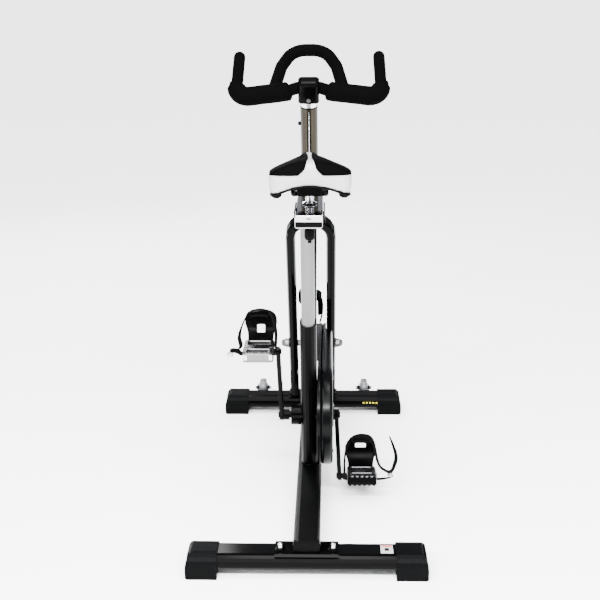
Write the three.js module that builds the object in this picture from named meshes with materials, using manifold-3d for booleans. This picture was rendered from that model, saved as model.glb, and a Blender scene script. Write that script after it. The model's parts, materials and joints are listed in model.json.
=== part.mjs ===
// Indoor cycle (spin bike), full size, in millimetres: +X is the rider's right, +Y is forward, +Z is up.
// Heights are above the floor. Lengths are first laid out with Y = 0 over the rear stabilizer, and the whole
// bike is then moved back so that its origin lies under the middle of its bounding box.
import * as THREE from "three";
import { mergeVertices } from "three/addons/utils/BufferGeometryUtils.js";
import Module from "manifold-3d";

const wasm = await Module();
wasm.setup();

// ---------------------------------------------------------------- driving dimensions
const GAP = 0.3; // air between touching pieces
const BASE_WIDTH = 550; // floor width over the rubber caps
const BASE_SPACING = 1000; // rear stabilizer to front stabilizer
const STABILIZER = { depth: 82, height: 40, wall: 2.5, centreZ: 35 };
const CAP = { length: 72, depth: 90, height: 60, wall: 4 };
const PLATE = { thickness: 5, rearWidth: 145, frontWidth: 150, lip: 6, boltX: 60, boltY: -13 };
const BEAM = { width: 62, height: 28, corner: 12, wall: 2, rearY: -25, frontY: 1030 };
const SEAT_TUBE = { width: 41, depth: 56, wall: 2, lean: 16, rimY: 288, rimZ: 508 };
const SEAT_POST = { width: 32, depth: 48, wall: 2, insert: 110, topZ: 786 };
const SLIDE = { width: 60, height: 28, corner: 5, wall: 2.5, rearY: 50, frontY: 330, bottomZ: 789 };
const FORK = { footY: 985, rake: 26.7, halfWidth: 56, legWidth: 26, legDepth: 50, wall: 2, straight: 642 };
const HEAD = { width: 52, depth: 42, low: 676, high: 855, lugLow: 722, lugHigh: 738 };
const BRAKE = { rodY: 40, rodRadius: 4, rodTop: 746 };
const BAR_POST = { width: 44, depth: 34, wall: 2, low: 765, high: 1055 };
const BAR = { radius: 14.5, wall: 2, along: 1107, gripRadius: 24, loopRadius: 15.5 };
const MAIN_TUBE = { width: 35, depth: 60, wall: 2, rear: [363, 330], front: [650, 670] };
const CRANK = { y: 365, z: 237, length: 170, armIn: 64, armOut: 75, flare: 8, spindleRadius: 8.5 };
const CHAIN = { x: 35, ringRadius: 103, sprocketRadius: 33, thickness: 7, width: 6 };
const COVER = { inX: 21, seamX: 29, outX: 60, rearRadius: 125, frontRadius: 60, wall: 3, legClear: 41.5 };
const FLYWHEEL = { z: 260, radius: 150, rim: 24, web: 8, hubRadius: 20 };
const PEDAL = { left: 88, right: 97, width: 76, length: 90, thickness: 24, leftTilt: 5, rightTilt: -8 };
const SEAT_OFFSET = { right: 7, yaw: 1.8 }; // the slide is clamped off centre, the saddle a little turned
const SADDLE = { rearY: 60, noseY: 335, width: 182, noseWidth: 44, pinY: 186 };
const WHEEL = { x: 162, y: 1074, z: 46, radius: 29, width: 26 };

const FLOOR_TO_PLATE = STABILIZER.centreZ + STABILIZER.height / 2 + GAP + PLATE.thickness;
const BEAM_LOW = FLOOR_TO_PLATE + GAP;
const BEAM_HIGH = BEAM_LOW + BEAM.height;
const FRONT_REACH = WHEEL.y + WHEEL.radius;
const REAR_REACH = -CAP.depth / 2;

const radians = THREE.MathUtils.degToRad;
const X_AXIS = new THREE.Vector3(1, 0, 0);
const Y_AXIS = new THREE.Vector3(0, 1, 0);
const Z_AXIS = new THREE.Vector3(0, 0, 1);

const forkSlope = Math.tan(radians(FORK.rake));
const flywheelY = FORK.footY - forkSlope * (FLYWHEEL.z - FLOOR_TO_PLATE);

// ---------------------------------------------------------------- materials
function finish(color, roughness, metalness) {
  return new THREE.MeshStandardMaterial({ color, roughness, metalness });
}
const FINISH = {
  paint: finish(0x0c0c0d, 0.28, 0.1),
  plastic: finish(0x141415, 0.5, 0),
  rubber: finish(0x17171a, 0.7, 0),
  foam: finish(0x0a0a0a, 0.9, 0),
  chrome: finish(0xd8dadc, 0.08, 1),
  satin: finish(0xb8babc, 0.35, 0.9),
  steel: finish(0x9a9ca0, 0.35, 1),
  iron: finish(0x2a2c30, 0.4, 0.9),
  silverVinyl: finish(0xd4d5d8, 0.35, 0.1),
  webbing: finish(0x101010, 0.8, 0),
  clearTyre: finish(0xb9babd, 0.4, 0),
};

// ---------------------------------------------------------------- solids: join, cut, keep the common part
function solid(geometry) {
  const flat = geometry.index ? geometry.toNonIndexed() : geometry;
  const bare = new THREE.BufferGeometry().setAttribute("position", flat.getAttribute("position"));
  const merged = mergeVertices(bare, 1e-3);
  return new wasm.Manifold(
    new wasm.Mesh({
      numProp: 3,
      vertProperties: merged.attributes.position.array,
      triVerts: new Uint32Array(merged.index.array),
    }),
  );
}

function geometryOf(body) {
  const { numProp, numVert, vertProperties, triVerts } = body.getMesh();
  const positions = new Float32Array(numVert * 3);
  for (let i = 0; i < numVert; i++) {
    positions.set(vertProperties.subarray(i * numProp, i * numProp + 3), i * 3);
  }
  return new THREE.BufferGeometry()
    .setAttribute("position", new THREE.BufferAttribute(positions, 3))
    .setIndex(new THREE.BufferAttribute(new Uint32Array(triVerts), 1));
}

const cut = (first, ...tools) => geometryOf(tools.reduce((s, t) => s.subtract(solid(t)), solid(first)));
const join = (first, ...others) => geometryOf(others.reduce((s, t) => s.add(solid(t)), solid(first)));
const common = (first, ...others) => geometryOf(others.reduce((s, t) => s.intersect(solid(t)), solid(first)));

// ---------------------------------------------------------------- outlines (lists of Vector2)
const points = (pairs) => pairs.map(([a, b]) => new THREE.Vector2(a, b));

function roundedRect(width, height, radius, steps = 3) {
  const outline = [];
  const corners = [[1, 1, 0], [-1, 1, 90], [-1, -1, 180], [1, -1, 270]];
  for (const [sx, sy, start] of corners) {
    for (let i = 0; i <= steps; i++) {
      const angle = radians(start + (90 * i) / steps);
      const p = new THREE.Vector2(
        sx * (width / 2 - radius) + radius * Math.cos(angle),
        sy * (height / 2 - radius) + radius * Math.sin(angle),
      );
      if (!outline.length || outline.at(-1).distanceTo(p) > 0.01) outline.push(p);
    }
  }
  if (outline[0].distanceTo(outline.at(-1)) < 0.01) outline.pop();
  return outline;
}

const oval = (width, depth, steps = 4) => roundedRect(width, depth, Math.min(width, depth) / 2, steps);

function circle(radius, sides = 20, [cx, cy] = [0, 0]) {
  return Array.from({ length: sides }, (_, i) => {
    const angle = (2 * Math.PI * i) / sides;
    return new THREE.Vector2(cx + radius * Math.cos(angle), cy + radius * Math.sin(angle));
  });
}

// The taut outline round two circles, as a belt round two pulleys.
function beltOutline([ax, ay], ra, [bx, by], rb, steps = 10) {
  const span = Math.hypot(bx - ax, by - ay);
  const along = Math.atan2(by - ay, bx - ax);
  const tilt = Math.acos((ra - rb) / span);
  const outline = [];
  for (let i = 0; i <= steps; i++) {
    const angle = along + tilt + ((2 * Math.PI - 2 * tilt) * i) / steps;
    outline.push(new THREE.Vector2(ax + ra * Math.cos(angle), ay + ra * Math.sin(angle)));
  }
  for (let i = 0; i <= steps; i++) {
    const angle = along - tilt + (2 * tilt * i) / steps;
    outline.push(new THREE.Vector2(bx + rb * Math.cos(angle), by + rb * Math.sin(angle)));
  }
  return outline;
}

// ---------------------------------------------------------------- extrusions along the three axes
function shapeOf(outline, holes = []) {
  const shape = new THREE.Shape(outline);
  for (const hole of holes) shape.holes.push(new THREE.Path(hole));
  return shape;
}

function extrude(outline, length, holes, edge) {
  const bevel = edge
    ? { bevelEnabled: true, bevelSize: edge, bevelOffset: -edge, bevelThickness: edge, bevelSegments: 1 }
    : { bevelEnabled: false };
  const depth = edge ? length - 2 * edge : length;
  const made = new THREE.ExtrudeGeometry(shapeOf(outline, holes), { depth, steps: 1, ...bevel });
  return made.translate(0, 0, edge || 0);
}

// The outline's own two coordinates are (y, z), (x, z) or (x, y).
function extrudeX(outline, x0, x1, holes = [], edge = 0) {
  const turn = new THREE.Matrix4().makeBasis(Y_AXIS, Z_AXIS, X_AXIS);
  return extrude(outline, x1 - x0, holes, edge).applyMatrix4(turn).translate(x0, 0, 0);
}
function extrudeY(outline, y0, y1, holes = [], edge = 0) {
  const turn = new THREE.Matrix4().makeBasis(X_AXIS, Z_AXIS, Y_AXIS.clone().negate());
  return extrude(outline, y1 - y0, holes, edge).applyMatrix4(turn).translate(0, y1, 0);
}
function extrudeZ(outline, z0, z1, holes = [], edge = 0) {
  return extrude(outline, z1 - z0, holes, edge).translate(0, 0, z0);
}

const rodX = (radius, x0, x1, sides = 20) => extrudeX(circle(radius, sides), x0, x1);
const box = (x0, x1, y0, y1, z0, z1) =>
  new THREE.BoxGeometry(x1 - x0, y1 - y0, z1 - z0).translate((x0 + x1) / 2, (y0 + y1) / 2, (z0 + z1) / 2);

// A turned piece: the profile is a list of [radius, height] from its foot up, round +Z.
function turned(profile, sides = 24) {
  return new THREE.LatheGeometry(points(profile), sides).rotateX(Math.PI / 2);
}
const turnedX = (profile, sides) => turned(profile, sides).rotateY(Math.PI / 2);
const turnedY = (profile, sides) => turned(profile, sides).rotateX(-Math.PI / 2);

// ---------------------------------------------------------------- tubes swept along a flat route
// A route keeps its own points as the sweep's steps, so a straight stretch is one step.
// binormal is the normal of the plane that the route lies in; the section's second coordinate runs along it.
class Route extends THREE.Curve {
  constructor(stops, binormal) {
    super();
    this.stops = stops;
    this.binormal = binormal.clone().normalize();
  }
  getSpacedPoints() {
    return this.stops;
  }
  computeFrenetFrames() {
    const tangents = this.stops.map((stop, i) => {
      const before = this.stops[Math.max(i - 1, 0)];
      const after = this.stops[Math.min(i + 1, this.stops.length - 1)];
      const arriving = stop.clone().sub(before).normalize();
      const leaving = after.clone().sub(stop).normalize();
      return arriving.add(leaving).normalize();
    });
    return {
      tangents,
      normals: tangents.map((t) => this.binormal.clone().cross(t).normalize()),
      binormals: tangents.map(() => this.binormal.clone()),
    };
  }
}

function sweep(stops, binormal, outline, holes = []) {
  const route = new Route(stops, binormal);
  return new THREE.ExtrudeGeometry(shapeOf(outline, holes), {
    steps: stops.length - 1,
    bevelEnabled: false,
    extrudePath: route,
  });
}

// Straight stretches between corners, each corner rounded by its own radius: [x, y, z, radius] for each stop.
function bentRoute(corners, steps = 5) {
  const at = corners.map(([x, y, z]) => new THREE.Vector3(x, y, z));
  const stops = [at[0]];
  for (let i = 1; i < at.length - 1; i++) {
    const radius = corners[i][3] ?? 0;
    const back = at[i - 1].clone().sub(at[i]).normalize();
    const on = at[i + 1].clone().sub(at[i]).normalize();
    const half = back.angleTo(on) / 2;
    if (!radius) {
      stops.push(at[i]);
      continue;
    }
    const centre = back.clone().add(on).normalize().multiplyScalar(radius / Math.sin(half)).add(at[i]);
    const start = at[i].clone().addScaledVector(back, radius / Math.tan(half)).sub(centre);
    const end = at[i].clone().addScaledVector(on, radius / Math.tan(half)).sub(centre);
    const turn = start.angleTo(end);
    const axis = start.clone().cross(end).normalize();
    for (let k = 0; k <= steps; k++) {
      stops.push(start.clone().applyAxisAngle(axis, (turn * k) / steps).add(centre));
    }
  }
  stops.push(at.at(-1));
  return stops;
}

// ---------------------------------------------------------------- scene helpers
const bike = new THREE.Group();
bike.position.y = -(FRONT_REACH + REAR_REACH) / 2;

function add(parent, name, geometry, material) {
  const mesh = new THREE.Mesh(geometry, material);
  mesh.name = name;
  parent.add(mesh);
  return mesh;
}

function group(parent, x, y, z, lean = 0) {
  const made = new THREE.Group();
  made.position.set(x, y, z);
  made.rotation.x = radians(lean);
  parent.add(made);
  return made;
}

const SIDES = [["left", -1], ["right", 1]];

// Places a geometry drawn along +Z on a leaning axis in the bike's own Y and Z.
const leaning = (geometry, lean, y, z) => geometry.rotateX(radians(lean)).translate(0, y, z);

// ---------------------------------------------------------------- floor stabilizers, caps and plates
function stabilizers() {
  const half = BASE_WIDTH / 2 - CAP.wall - GAP;
  const bore = oval(STABILIZER.depth - 2 * STABILIZER.wall, STABILIZER.height - 2 * STABILIZER.wall);
  for (const [end, y] of [["rear", 0], ["front", BASE_SPACING]]) {
    const tube = extrudeX(oval(STABILIZER.depth, STABILIZER.height), -half, half, [bore]);
    add(bike, `${end}_stabilizer`, tube, FINISH.paint).position.set(0, y, STABILIZER.centreZ);
    for (const [side, sign] of SIDES) {
      const cap = add(bike, `foot_cap_${end}_${side}`, footCap(), FINISH.rubber);
      cap.position.y = y;
      cap.scale.x = sign;
    }
  }
}

// A rubber shoe over the tube's end, its top falling away in one round sweep to the outer end.
function footCap() {
  const inner = BASE_WIDTH / 2 - CAP.length;
  const outer = BASE_WIDTH / 2;
  const fall = { run: 19, drop: 34, steps: 5 };
  const side = points([[inner, 0], [outer - 4, 0], [outer, 4]]);
  for (let i = 0; i <= fall.steps; i++) {
    const angle = radians((90 * i) / fall.steps);
    side.push(
      new THREE.Vector2(
        outer - fall.run + fall.run * Math.cos(angle),
        CAP.height - fall.drop + fall.drop * Math.sin(angle),
      ),
    );
  }
  side.push(new THREE.Vector2(inner, CAP.height));
  const half = CAP.depth / 2;
  const shoulder = CAP.height - STABILIZER.centreZ;
  const across = points([[-half, 0], [half, 0]]);
  for (const sign of [1, -1]) {
    for (let i = 0; i <= 4; i++) {
      const angle = radians(sign > 0 ? 22.5 * i : 90 - 22.5 * i);
      const y = sign * (half - shoulder + shoulder * Math.cos(angle));
      across.push(new THREE.Vector2(y, STABILIZER.centreZ + shoulder * Math.sin(angle)));
    }
  }
  const pocket = oval(STABILIZER.depth + 2 * GAP, STABILIZER.height + 2 * GAP);
  return cut(
    common(extrudeY(side, -CAP.depth / 2, CAP.depth / 2), extrudeX(across, inner, outer)),
    extrudeX(pocket, inner - 1, outer - CAP.wall).translate(0, 0, STABILIZER.centreZ),
  );
}

// A plate bent over the stabilizer's back, with a domed bolt near each end.
function saddlePlate(width) {
  const { depth, height, centreZ } = STABILIZER;
  const inside = oval(depth + 2 * GAP, height + 2 * GAP);
  const outside = oval(depth + 2 * (GAP + PLATE.thickness), height + 2 * (GAP + PLATE.thickness));
  const shell = extrudeX(outside, -width / 2, width / 2, [inside]).translate(0, 0, centreZ);
  return cut(shell, box(-width, width, -depth, depth, 0, FLOOR_TO_PLATE - PLATE.lip));
}

function basePlates() {
  add(bike, "rear_saddle_plate", saddlePlate(PLATE.rearWidth), FINISH.paint);
  add(bike, "front_saddle_plate", saddlePlate(PLATE.frontWidth), FINISH.paint).position.y = BASE_SPACING;
  const dome = [[0, 0], [9, 0], [9, 7], [7, 12], [3, 15], [0, 15.5]];
  for (const [side, sign] of SIDES) {
    const bolt = add(bike, `plate_bolt_${side}`, turned(dome, 12), FINISH.chrome);
    bolt.position.set(sign * PLATE.boltX, PLATE.boltY, FLOOR_TO_PLATE + GAP);
  }
}

// ---------------------------------------------------------------- welded frame tubes
function hollow(width, depth, wall, z0, z1) {
  return extrudeZ(oval(width, depth), z0, z1, [oval(width - 2 * wall, depth - 2 * wall)]);
}

function forkArch(grow = 0, wall = FORK.wall) {
  const { halfWidth, straight, legWidth, legDepth } = FORK;
  const stops = [new THREE.Vector3(-halfWidth, 0, -40)];
  const steps = 10;
  for (let i = 0; i <= steps; i++) {
    const angle = Math.PI - (Math.PI * i) / steps;
    stops.push(new THREE.Vector3(halfWidth * Math.cos(angle), 0, straight + halfWidth * Math.sin(angle)));
  }
  stops.push(new THREE.Vector3(halfWidth, 0, -40));
  const outline = roundedRect(legWidth + grow, legDepth + grow, 12, 2);
  const bore = wall ? [roundedRect(legWidth - 2 * wall, legDepth - 2 * wall, 10, 2)] : [];
  return leaning(sweep(stops, Y_AXIS, outline, bore), FORK.rake, FORK.footY, FLOOR_TO_PLATE);
}

// The head sleeve's outside, grown by the gap that its neighbours keep to it.
function sleeveRoom() {
  const tube = extrudeZ(oval(HEAD.width + 2 * GAP, HEAD.depth + 2 * GAP), HEAD.low - GAP, HEAD.high);
  return leaning(tube, FORK.rake, FORK.footY, FLOOR_TO_PLATE);
}

function frameTubes() {
  const { width, height, corner, wall } = BEAM;
  const beamBore = roundedRect(width - 2 * wall, height - 2 * wall, corner - wall);
  const beam = extrudeY(roundedRect(width, height, corner), BEAM.rearY, BEAM.frontY, [beamBore]);
  add(bike, "bottom_beam", beam.translate(0, 0, (BEAM_LOW + BEAM_HIGH) / 2), FINISH.paint);

  const belowBeam = box(-200, 200, -200, 1400, -100, BEAM_HIGH + GAP);
  const seat = (grow, thickness) =>
    leaning(
      thickness
        ? hollow(SEAT_TUBE.width, SEAT_TUBE.depth, thickness, -470, 0)
        : extrudeZ(oval(SEAT_TUBE.width + grow, SEAT_TUBE.depth + grow), -470, 1),
      SEAT_TUBE.lean,
      SEAT_TUBE.rimY,
      SEAT_TUBE.rimZ,
    );
  const shellHole = rodX(21 + GAP, -60, 60).translate(0, CRANK.y, CRANK.z);
  add(bike, "seat_tube", cut(seat(0, SEAT_TUBE.wall), belowBeam, shellHole), FINISH.paint);

  const [rearY, rearZ] = MAIN_TUBE.rear;
  const [frontY, frontZ] = MAIN_TUBE.front;
  const length = Math.hypot(frontY - rearY, frontZ - rearZ);
  const slope = -THREE.MathUtils.radToDeg(Math.atan2(frontY - rearY, frontZ - rearZ));
  const main = leaning(
    hollow(MAIN_TUBE.width, MAIN_TUBE.depth, MAIN_TUBE.wall, -20, length + 10),
    slope,
    rearY,
    rearZ,
  );
  const coped = cut(main, seat(2 * GAP, 0), forkArch(2 * GAP, 0), sleeveRoom());
  add(bike, "main_tube", biggest(coped), FINISH.paint);

  const belowPlate = box(-200, 200, 700, 1300, -100, FLOOR_TO_PLATE + GAP);
  add(bike, "fork", cut(forkArch(), belowPlate, sleeveRoom()), FINISH.paint);
  add(bike, "head_sleeve", headSleeve(), FINISH.paint);
}

// The sleeve for the handlebar post, with a lug in front that guides the brake's tension rod.
function headSleeve() {
  const { low, lugLow, lugHigh } = HEAD;
  const lug = extrudeZ(roundedRect(30, 40, 6, 2), lugLow, lugHigh).translate(0, BRAKE.rodY - 7, 0);
  const bore = extrudeZ(circle(BRAKE.rodRadius + GAP, 16, [0, BRAKE.rodY]), low, HEAD.high);
  const inside = extrudeZ(oval(BAR_POST.width + 1, BAR_POST.depth + 1), low - 1, HEAD.high + 1);
  const upright = extrudeZ(oval(HEAD.width, HEAD.depth), low, HEAD.high);
  return leaning(cut(join(upright, lug), inside, bore), FORK.rake, FORK.footY, FLOOR_TO_PLATE);
}

// A cope can leave loose slivers beyond the joint: only the tube itself is kept.
function biggest(geometry) {
  const bodies = solid(geometry).decompose();
  return geometryOf(bodies.reduce((a, b) => (a.volume() > b.volume() ? a : b)));
}

// ---------------------------------------------------------------- seat post, slide and saddle
function seatAssembly() {
  const post = group(bike, 0, SEAT_TUBE.rimY, SEAT_TUBE.rimZ, SEAT_TUBE.lean);
  const rise = (SEAT_POST.topZ - SEAT_TUBE.rimZ) / Math.cos(radians(SEAT_TUBE.lean));
  const tube = hollow(SEAT_POST.width, SEAT_POST.depth, SEAT_POST.wall, -SEAT_POST.insert, rise + 20);
  const level = box(-60, 60, -80, 80, 0, 80).rotateX(radians(-SEAT_TUBE.lean)).translate(0, 0, rise - 10);
  add(post, "seat_post", cut(tube, level), FINISH.satin);

  const topY = SEAT_TUBE.rimY - Math.tan(radians(SEAT_TUBE.lean)) * (SEAT_POST.topZ - SEAT_TUBE.rimZ);
  const top = group(bike, SEAT_OFFSET.right, 0, 0);
  seatCarriage(top, topY);
  seatSlide(top);
  const turnedSaddle = group(top, 0, SADDLE.pinY, 0);
  turnedSaddle.rotation.z = radians(SEAT_OFFSET.yaw);
  saddle(group(turnedSaddle, 0, -SADDLE.pinY, 0));
}

// The channel on the post's top that the slide runs in, and the knob that clamps it from below.
function seatCarriage(top, topY) {
  const { width, bottomZ, height } = SLIDE;
  const wall = 3.5;
  const outer = width / 2 + 1 + wall;
  const low = bottomZ - 1 - wall;
  const high = bottomZ + height - 8;
  const channel = points([
    [-outer, low], [outer, low], [outer, high], [outer - wall, high],
    [outer - wall, low + wall], [wall - outer, low + wall], [wall - outer, high], [-outer, high],
  ]);
  const rearY = topY - 72;
  const knobY = topY - 55;
  const shaft = extrudeZ(circle(4 + GAP, 12, [0, knobY]), low - 10, low + 10);
  add(top, "slide_carriage", cut(extrudeY(channel, rearY, topY + 40), shaft), FINISH.paint);

  const knob = [
    [0, -50], [4, -50], [4, -44], [9, -42], [12, -36], [12, -20], [10, -17], [4, -16], [4, 4], [0, 4],
  ];
  add(top, "slide_knob", turned(knob, 16), FINISH.plastic).position.set(0, knobY, low);

  const lock = [[0, 0], [5, 0], [5, 9], [16, 12], [17, 30], [13, 35], [0, 36]];
  const seatKnob = add(bike, "seat_post_knob", turnedY(lock, 16), FINISH.plastic);
  const knobZ = 455;
  const faceY = SEAT_TUBE.rimY + (SEAT_TUBE.rimZ - knobZ) * Math.tan(radians(SEAT_TUBE.lean));
  seatKnob.position.set(0, faceY + SEAT_TUBE.depth / 2 / Math.cos(radians(SEAT_TUBE.lean)) + 2, knobZ);
}

function seatSlide(top) {
  const { width, height, corner, wall, rearY, frontY, bottomZ } = SLIDE;
  const middle = bottomZ + height / 2;
  const bore = roundedRect(width - 2 * wall, height - 2 * wall, corner - wall);
  const tube = extrudeY(roundedRect(width, height, corner), rearY + 4, frontY, [bore]).translate(0, 0, middle);
  add(top, "seat_slide", tube, FINISH.chrome);
  const cap = extrudeY(roundedRect(width, height, corner), rearY, rearY + 4 - GAP, [], 1.5);
  add(top, "slide_end_cap", cap.translate(0, 0, middle), FINISH.chrome);
  const pin = [[0, 0], [17, 0], [17, 4], [9.5, 6], [9.5, 52], [7, 55], [0, 55]];
  const stud = add(top, "saddle_pin", turned(pin, 20), FINISH.chrome);
  stud.position.set(0, SADDLE.pinY, bottomZ + height + GAP);
}

const saddleOutline = (grow = 0) => {
  const { rearY, noseY, width, noseWidth } = SADDLE;
  const half = width / 2 + grow;
  const nose = noseWidth / 2 + grow;
  const side = new THREE.CatmullRomCurve3(
    [
      [0, rearY - grow], [half * 0.62, rearY - grow + 1], [half - 9, rearY + 10 - grow], [half, rearY + 42],
      [half - 9, rearY + 82], [half * 0.62, rearY + 122], [nose + 12, rearY + 160], [nose + 2, rearY + 205],
      [nose, noseY - 22], [nose * 0.62, noseY - 5 + grow], [0, noseY + grow],
    ].map(([x, y]) => new THREE.Vector3(x, y, 0)),
  ).getPoints(22);
  const right = side.map((p) => new THREE.Vector2(Math.max(p.x, 0), p.y));
  const left = right.slice(1, -1).reverse().map((p) => new THREE.Vector2(-p.x, p.y));
  return [...right, ...left];
};

// The saddle's height over its width: a flat arch, low at both edges.
function archBand(lowMiddle, lowEdge, highMiddle, highEdge, half, power) {
  const steps = 8;
  const band = [];
  for (let i = 0; i <= steps; i++) {
    const u = -1 + (2 * i) / steps;
    band.push([u * half, lowMiddle - (lowMiddle - lowEdge) * u * u]);
  }
  for (let i = steps; i >= 0; i--) {
    const u = -1 + (2 * i) / steps;
    band.push([u * half, highMiddle - (highMiddle - highEdge) * Math.abs(u) ** power]);
  }
  return points(band);
}

function saddle(set) {
  const reach = [SADDLE.rearY - 10, SADDLE.noseY + 10];
  const padBand = extrudeY(archBand(883, 864, 928, 897, 100, 1.15), ...reach);
  const crown = points([
    [reach[0], 850], [reach[1], 850], [reach[1], 905], [SADDLE.noseY - 12, 912],
    [200, 922], [120, 927], [reach[0], 926],
  ]);
  const pad = common(extrudeZ(saddleOutline(), 850, 940), padBand, extrudeX(crown, -120, 120));
  add(set, "saddle_cushion", pad, FINISH.silverVinyl);
  const baseBand = extrudeY(archBand(878, 859, 882.6, 863.6, 100, 2), ...reach);
  const base = common(extrudeZ(saddleOutline(-3), 840, 940), baseBand);
  add(set, "saddle_base", base, FINISH.plastic);

  const { pinY } = SADDLE;
  const block = extrudeY(points([[-27, 838], [27, 838], [31, 868], [-31, 868]]), pinY - 22, pinY + 22, [], 2);
  const pinHole = extrudeZ(circle(12, 16, [0, pinY]), 800, 900);
  const railHoles = [-1, 1].map((s) => extrudeY(circle(3.5 + GAP, 12, [s * 22, 862]), pinY - 40, pinY + 40));
  const bolt = rodX(8, -37, 37, 12).translate(0, pinY, 846);
  add(set, "saddle_clamp", cut(join(block, bolt), pinHole, ...railHoles), FINISH.paint);

  for (const [side, sign] of SIDES) {
    const route = bentRoute([
      [38, SADDLE.rearY + 22, 866.5], [22, pinY - 42, 862, 20],
      [22, pinY + 42, 862, 20], [8, SADDLE.noseY - 22, 874],
    ], 3);
    const rail = sweep(route, new THREE.Vector3(0, 0, 1), circle(3.5, 8));
    add(set, `saddle_rail_${side}`, rail, FINISH.paint).scale.x = sign;
  }
}

// ---------------------------------------------------------------- handlebar post, stem and bars
function handlebarAssembly() {
  const post = group(bike, 0, FORK.footY, FLOOR_TO_PLATE, FORK.rake);
  const tube = hollow(BAR_POST.width, BAR_POST.depth, BAR_POST.wall, BAR_POST.low, BAR_POST.high);
  add(post, "handlebar_post", tube, FINISH.chrome);
  const neckHigh = BAR_POST.high + 18;
  const neck = extrudeZ(oval(BAR_POST.width - 2, BAR_POST.depth - 2), BAR_POST.high + GAP, neckHigh, [], 3);
  add(post, "post_neck", neck, FINISH.chrome);
  const stem = extrudeZ(roundedRect(52, 46, 8), neckHigh + GAP, BAR.along + 19, [], 3);
  add(post, "stem_clamp", cut(stem, rodX(BAR.radius + GAP, -40, 40).translate(0, 0, BAR.along)), FINISH.paint);
  const lock = [[0, 0], [5, 0], [5, 9], [16, 12], [17, 30], [13, 35], [0, 36]];
  const knob = add(post, "handlebar_knob", turnedY(lock, 16), FINISH.plastic);
  knob.position.set(0, HEAD.depth / 2 + GAP, HEAD.high - 45);
  bars();
}

function bars() {
  const sine = Math.sin(radians(FORK.rake));
  const cosine = Math.cos(radians(FORK.rake));
  const set = group(bike, 0, FORK.footY - sine * BAR.along, FLOOR_TO_PLATE + cosine * BAR.along);
  const pipe = (radius, wall) => [circle(radius, 10), wall ? [circle(radius - wall, 10)] : []];

  // One tube: a crossbar that droops to a bend at each end, and the two horns that rise forward.
  const horn = { x: 180, tipX: 175, tipY: 96, tipZ: 80 };
  const half = [[28, 0, 0, 10], [56, 0, -9.5, 60], [horn.x, 0, -24, 30], [horn.tipX, horn.tipY, horn.tipZ]];
  const mirrored = half.map(([x, ...rest]) => [-x, ...rest]).reverse();
  const barRoute = bentRoute([...mirrored, ...half], 4);
  add(set, "handlebar", sweepFree(barRoute, ...pipe(BAR.radius, BAR.wall)), FINISH.paint);

  // The middle loop stands forward and up from the crossbar.
  const loop = { tilt: 48, rise: 145, foot: 86, shoulder: 66, shoulderRise: 95, top: 36, footDrop: 12 };
  const loopHalf = [
    [loop.top, 0, loop.rise, 40], [loop.shoulder, 0, loop.shoulderRise, 40], [loop.foot, 0, 0],
  ];
  const loopMirrored = loopHalf.map(([x, ...rest]) => [-x, ...rest]).reverse();
  const loopRoute = bentRoute([...loopMirrored, ...loopHalf], 3);
  const loopTube = (radius, wall) =>
    sweep(loopRoute, Y_AXIS, ...pipe(radius, wall))
      .rotateX(-radians(loop.tilt))
      .translate(0, 0, -loop.footDrop);
  const barRoom = sweepFree(barRoute, ...pipe(BAR.radius + GAP, 0));
  add(set, "handlebar_loop", biggest(cut(loopTube(BAR.loopRadius, BAR.wall), barRoom)), FINISH.foam);

  const gripHalf = [[46, 0, -6.4], [56, 0, -9.5, 10], [horn.x, 0, -24, 30], [horn.x - 0.8, 16, -6.7]];
  const gripRoute = bentRoute(gripHalf, 5);
  for (const [side, sign] of SIDES) {
    const sleeve = sweepFree(gripRoute, ...pipe(BAR.gripRadius, 0));
    add(set, `grip_${side}`, biggest(cut(sleeve, barRoom, loopTube(BAR.loopRadius + GAP, 0))), FINISH.foam)
      .scale.x = sign;
  }
}

// A round tube along a route that needn't be flat: the section only turns as little as it must.
function sweepFree(stops, outline, holes) {
  const route = new Route(stops, Y_AXIS);
  const tangents = route.computeFrenetFrames().tangents;
  const normals = [new THREE.Vector3(0, 1, 0).cross(tangents[0]).normalize()];
  for (let i = 1; i < stops.length; i++) {
    const turn = new THREE.Quaternion().setFromUnitVectors(tangents[i - 1], tangents[i]);
    normals.push(normals[i - 1].clone().applyQuaternion(turn));
  }
  const binormals = tangents.map((t, i) => t.clone().cross(normals[i]));
  route.computeFrenetFrames = () => ({ tangents, normals, binormals });
  return new THREE.ExtrudeGeometry(shapeOf(outline, holes), {
    steps: stops.length - 1,
    bevelEnabled: false,
    extrudePath: route,
  });
}

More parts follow.
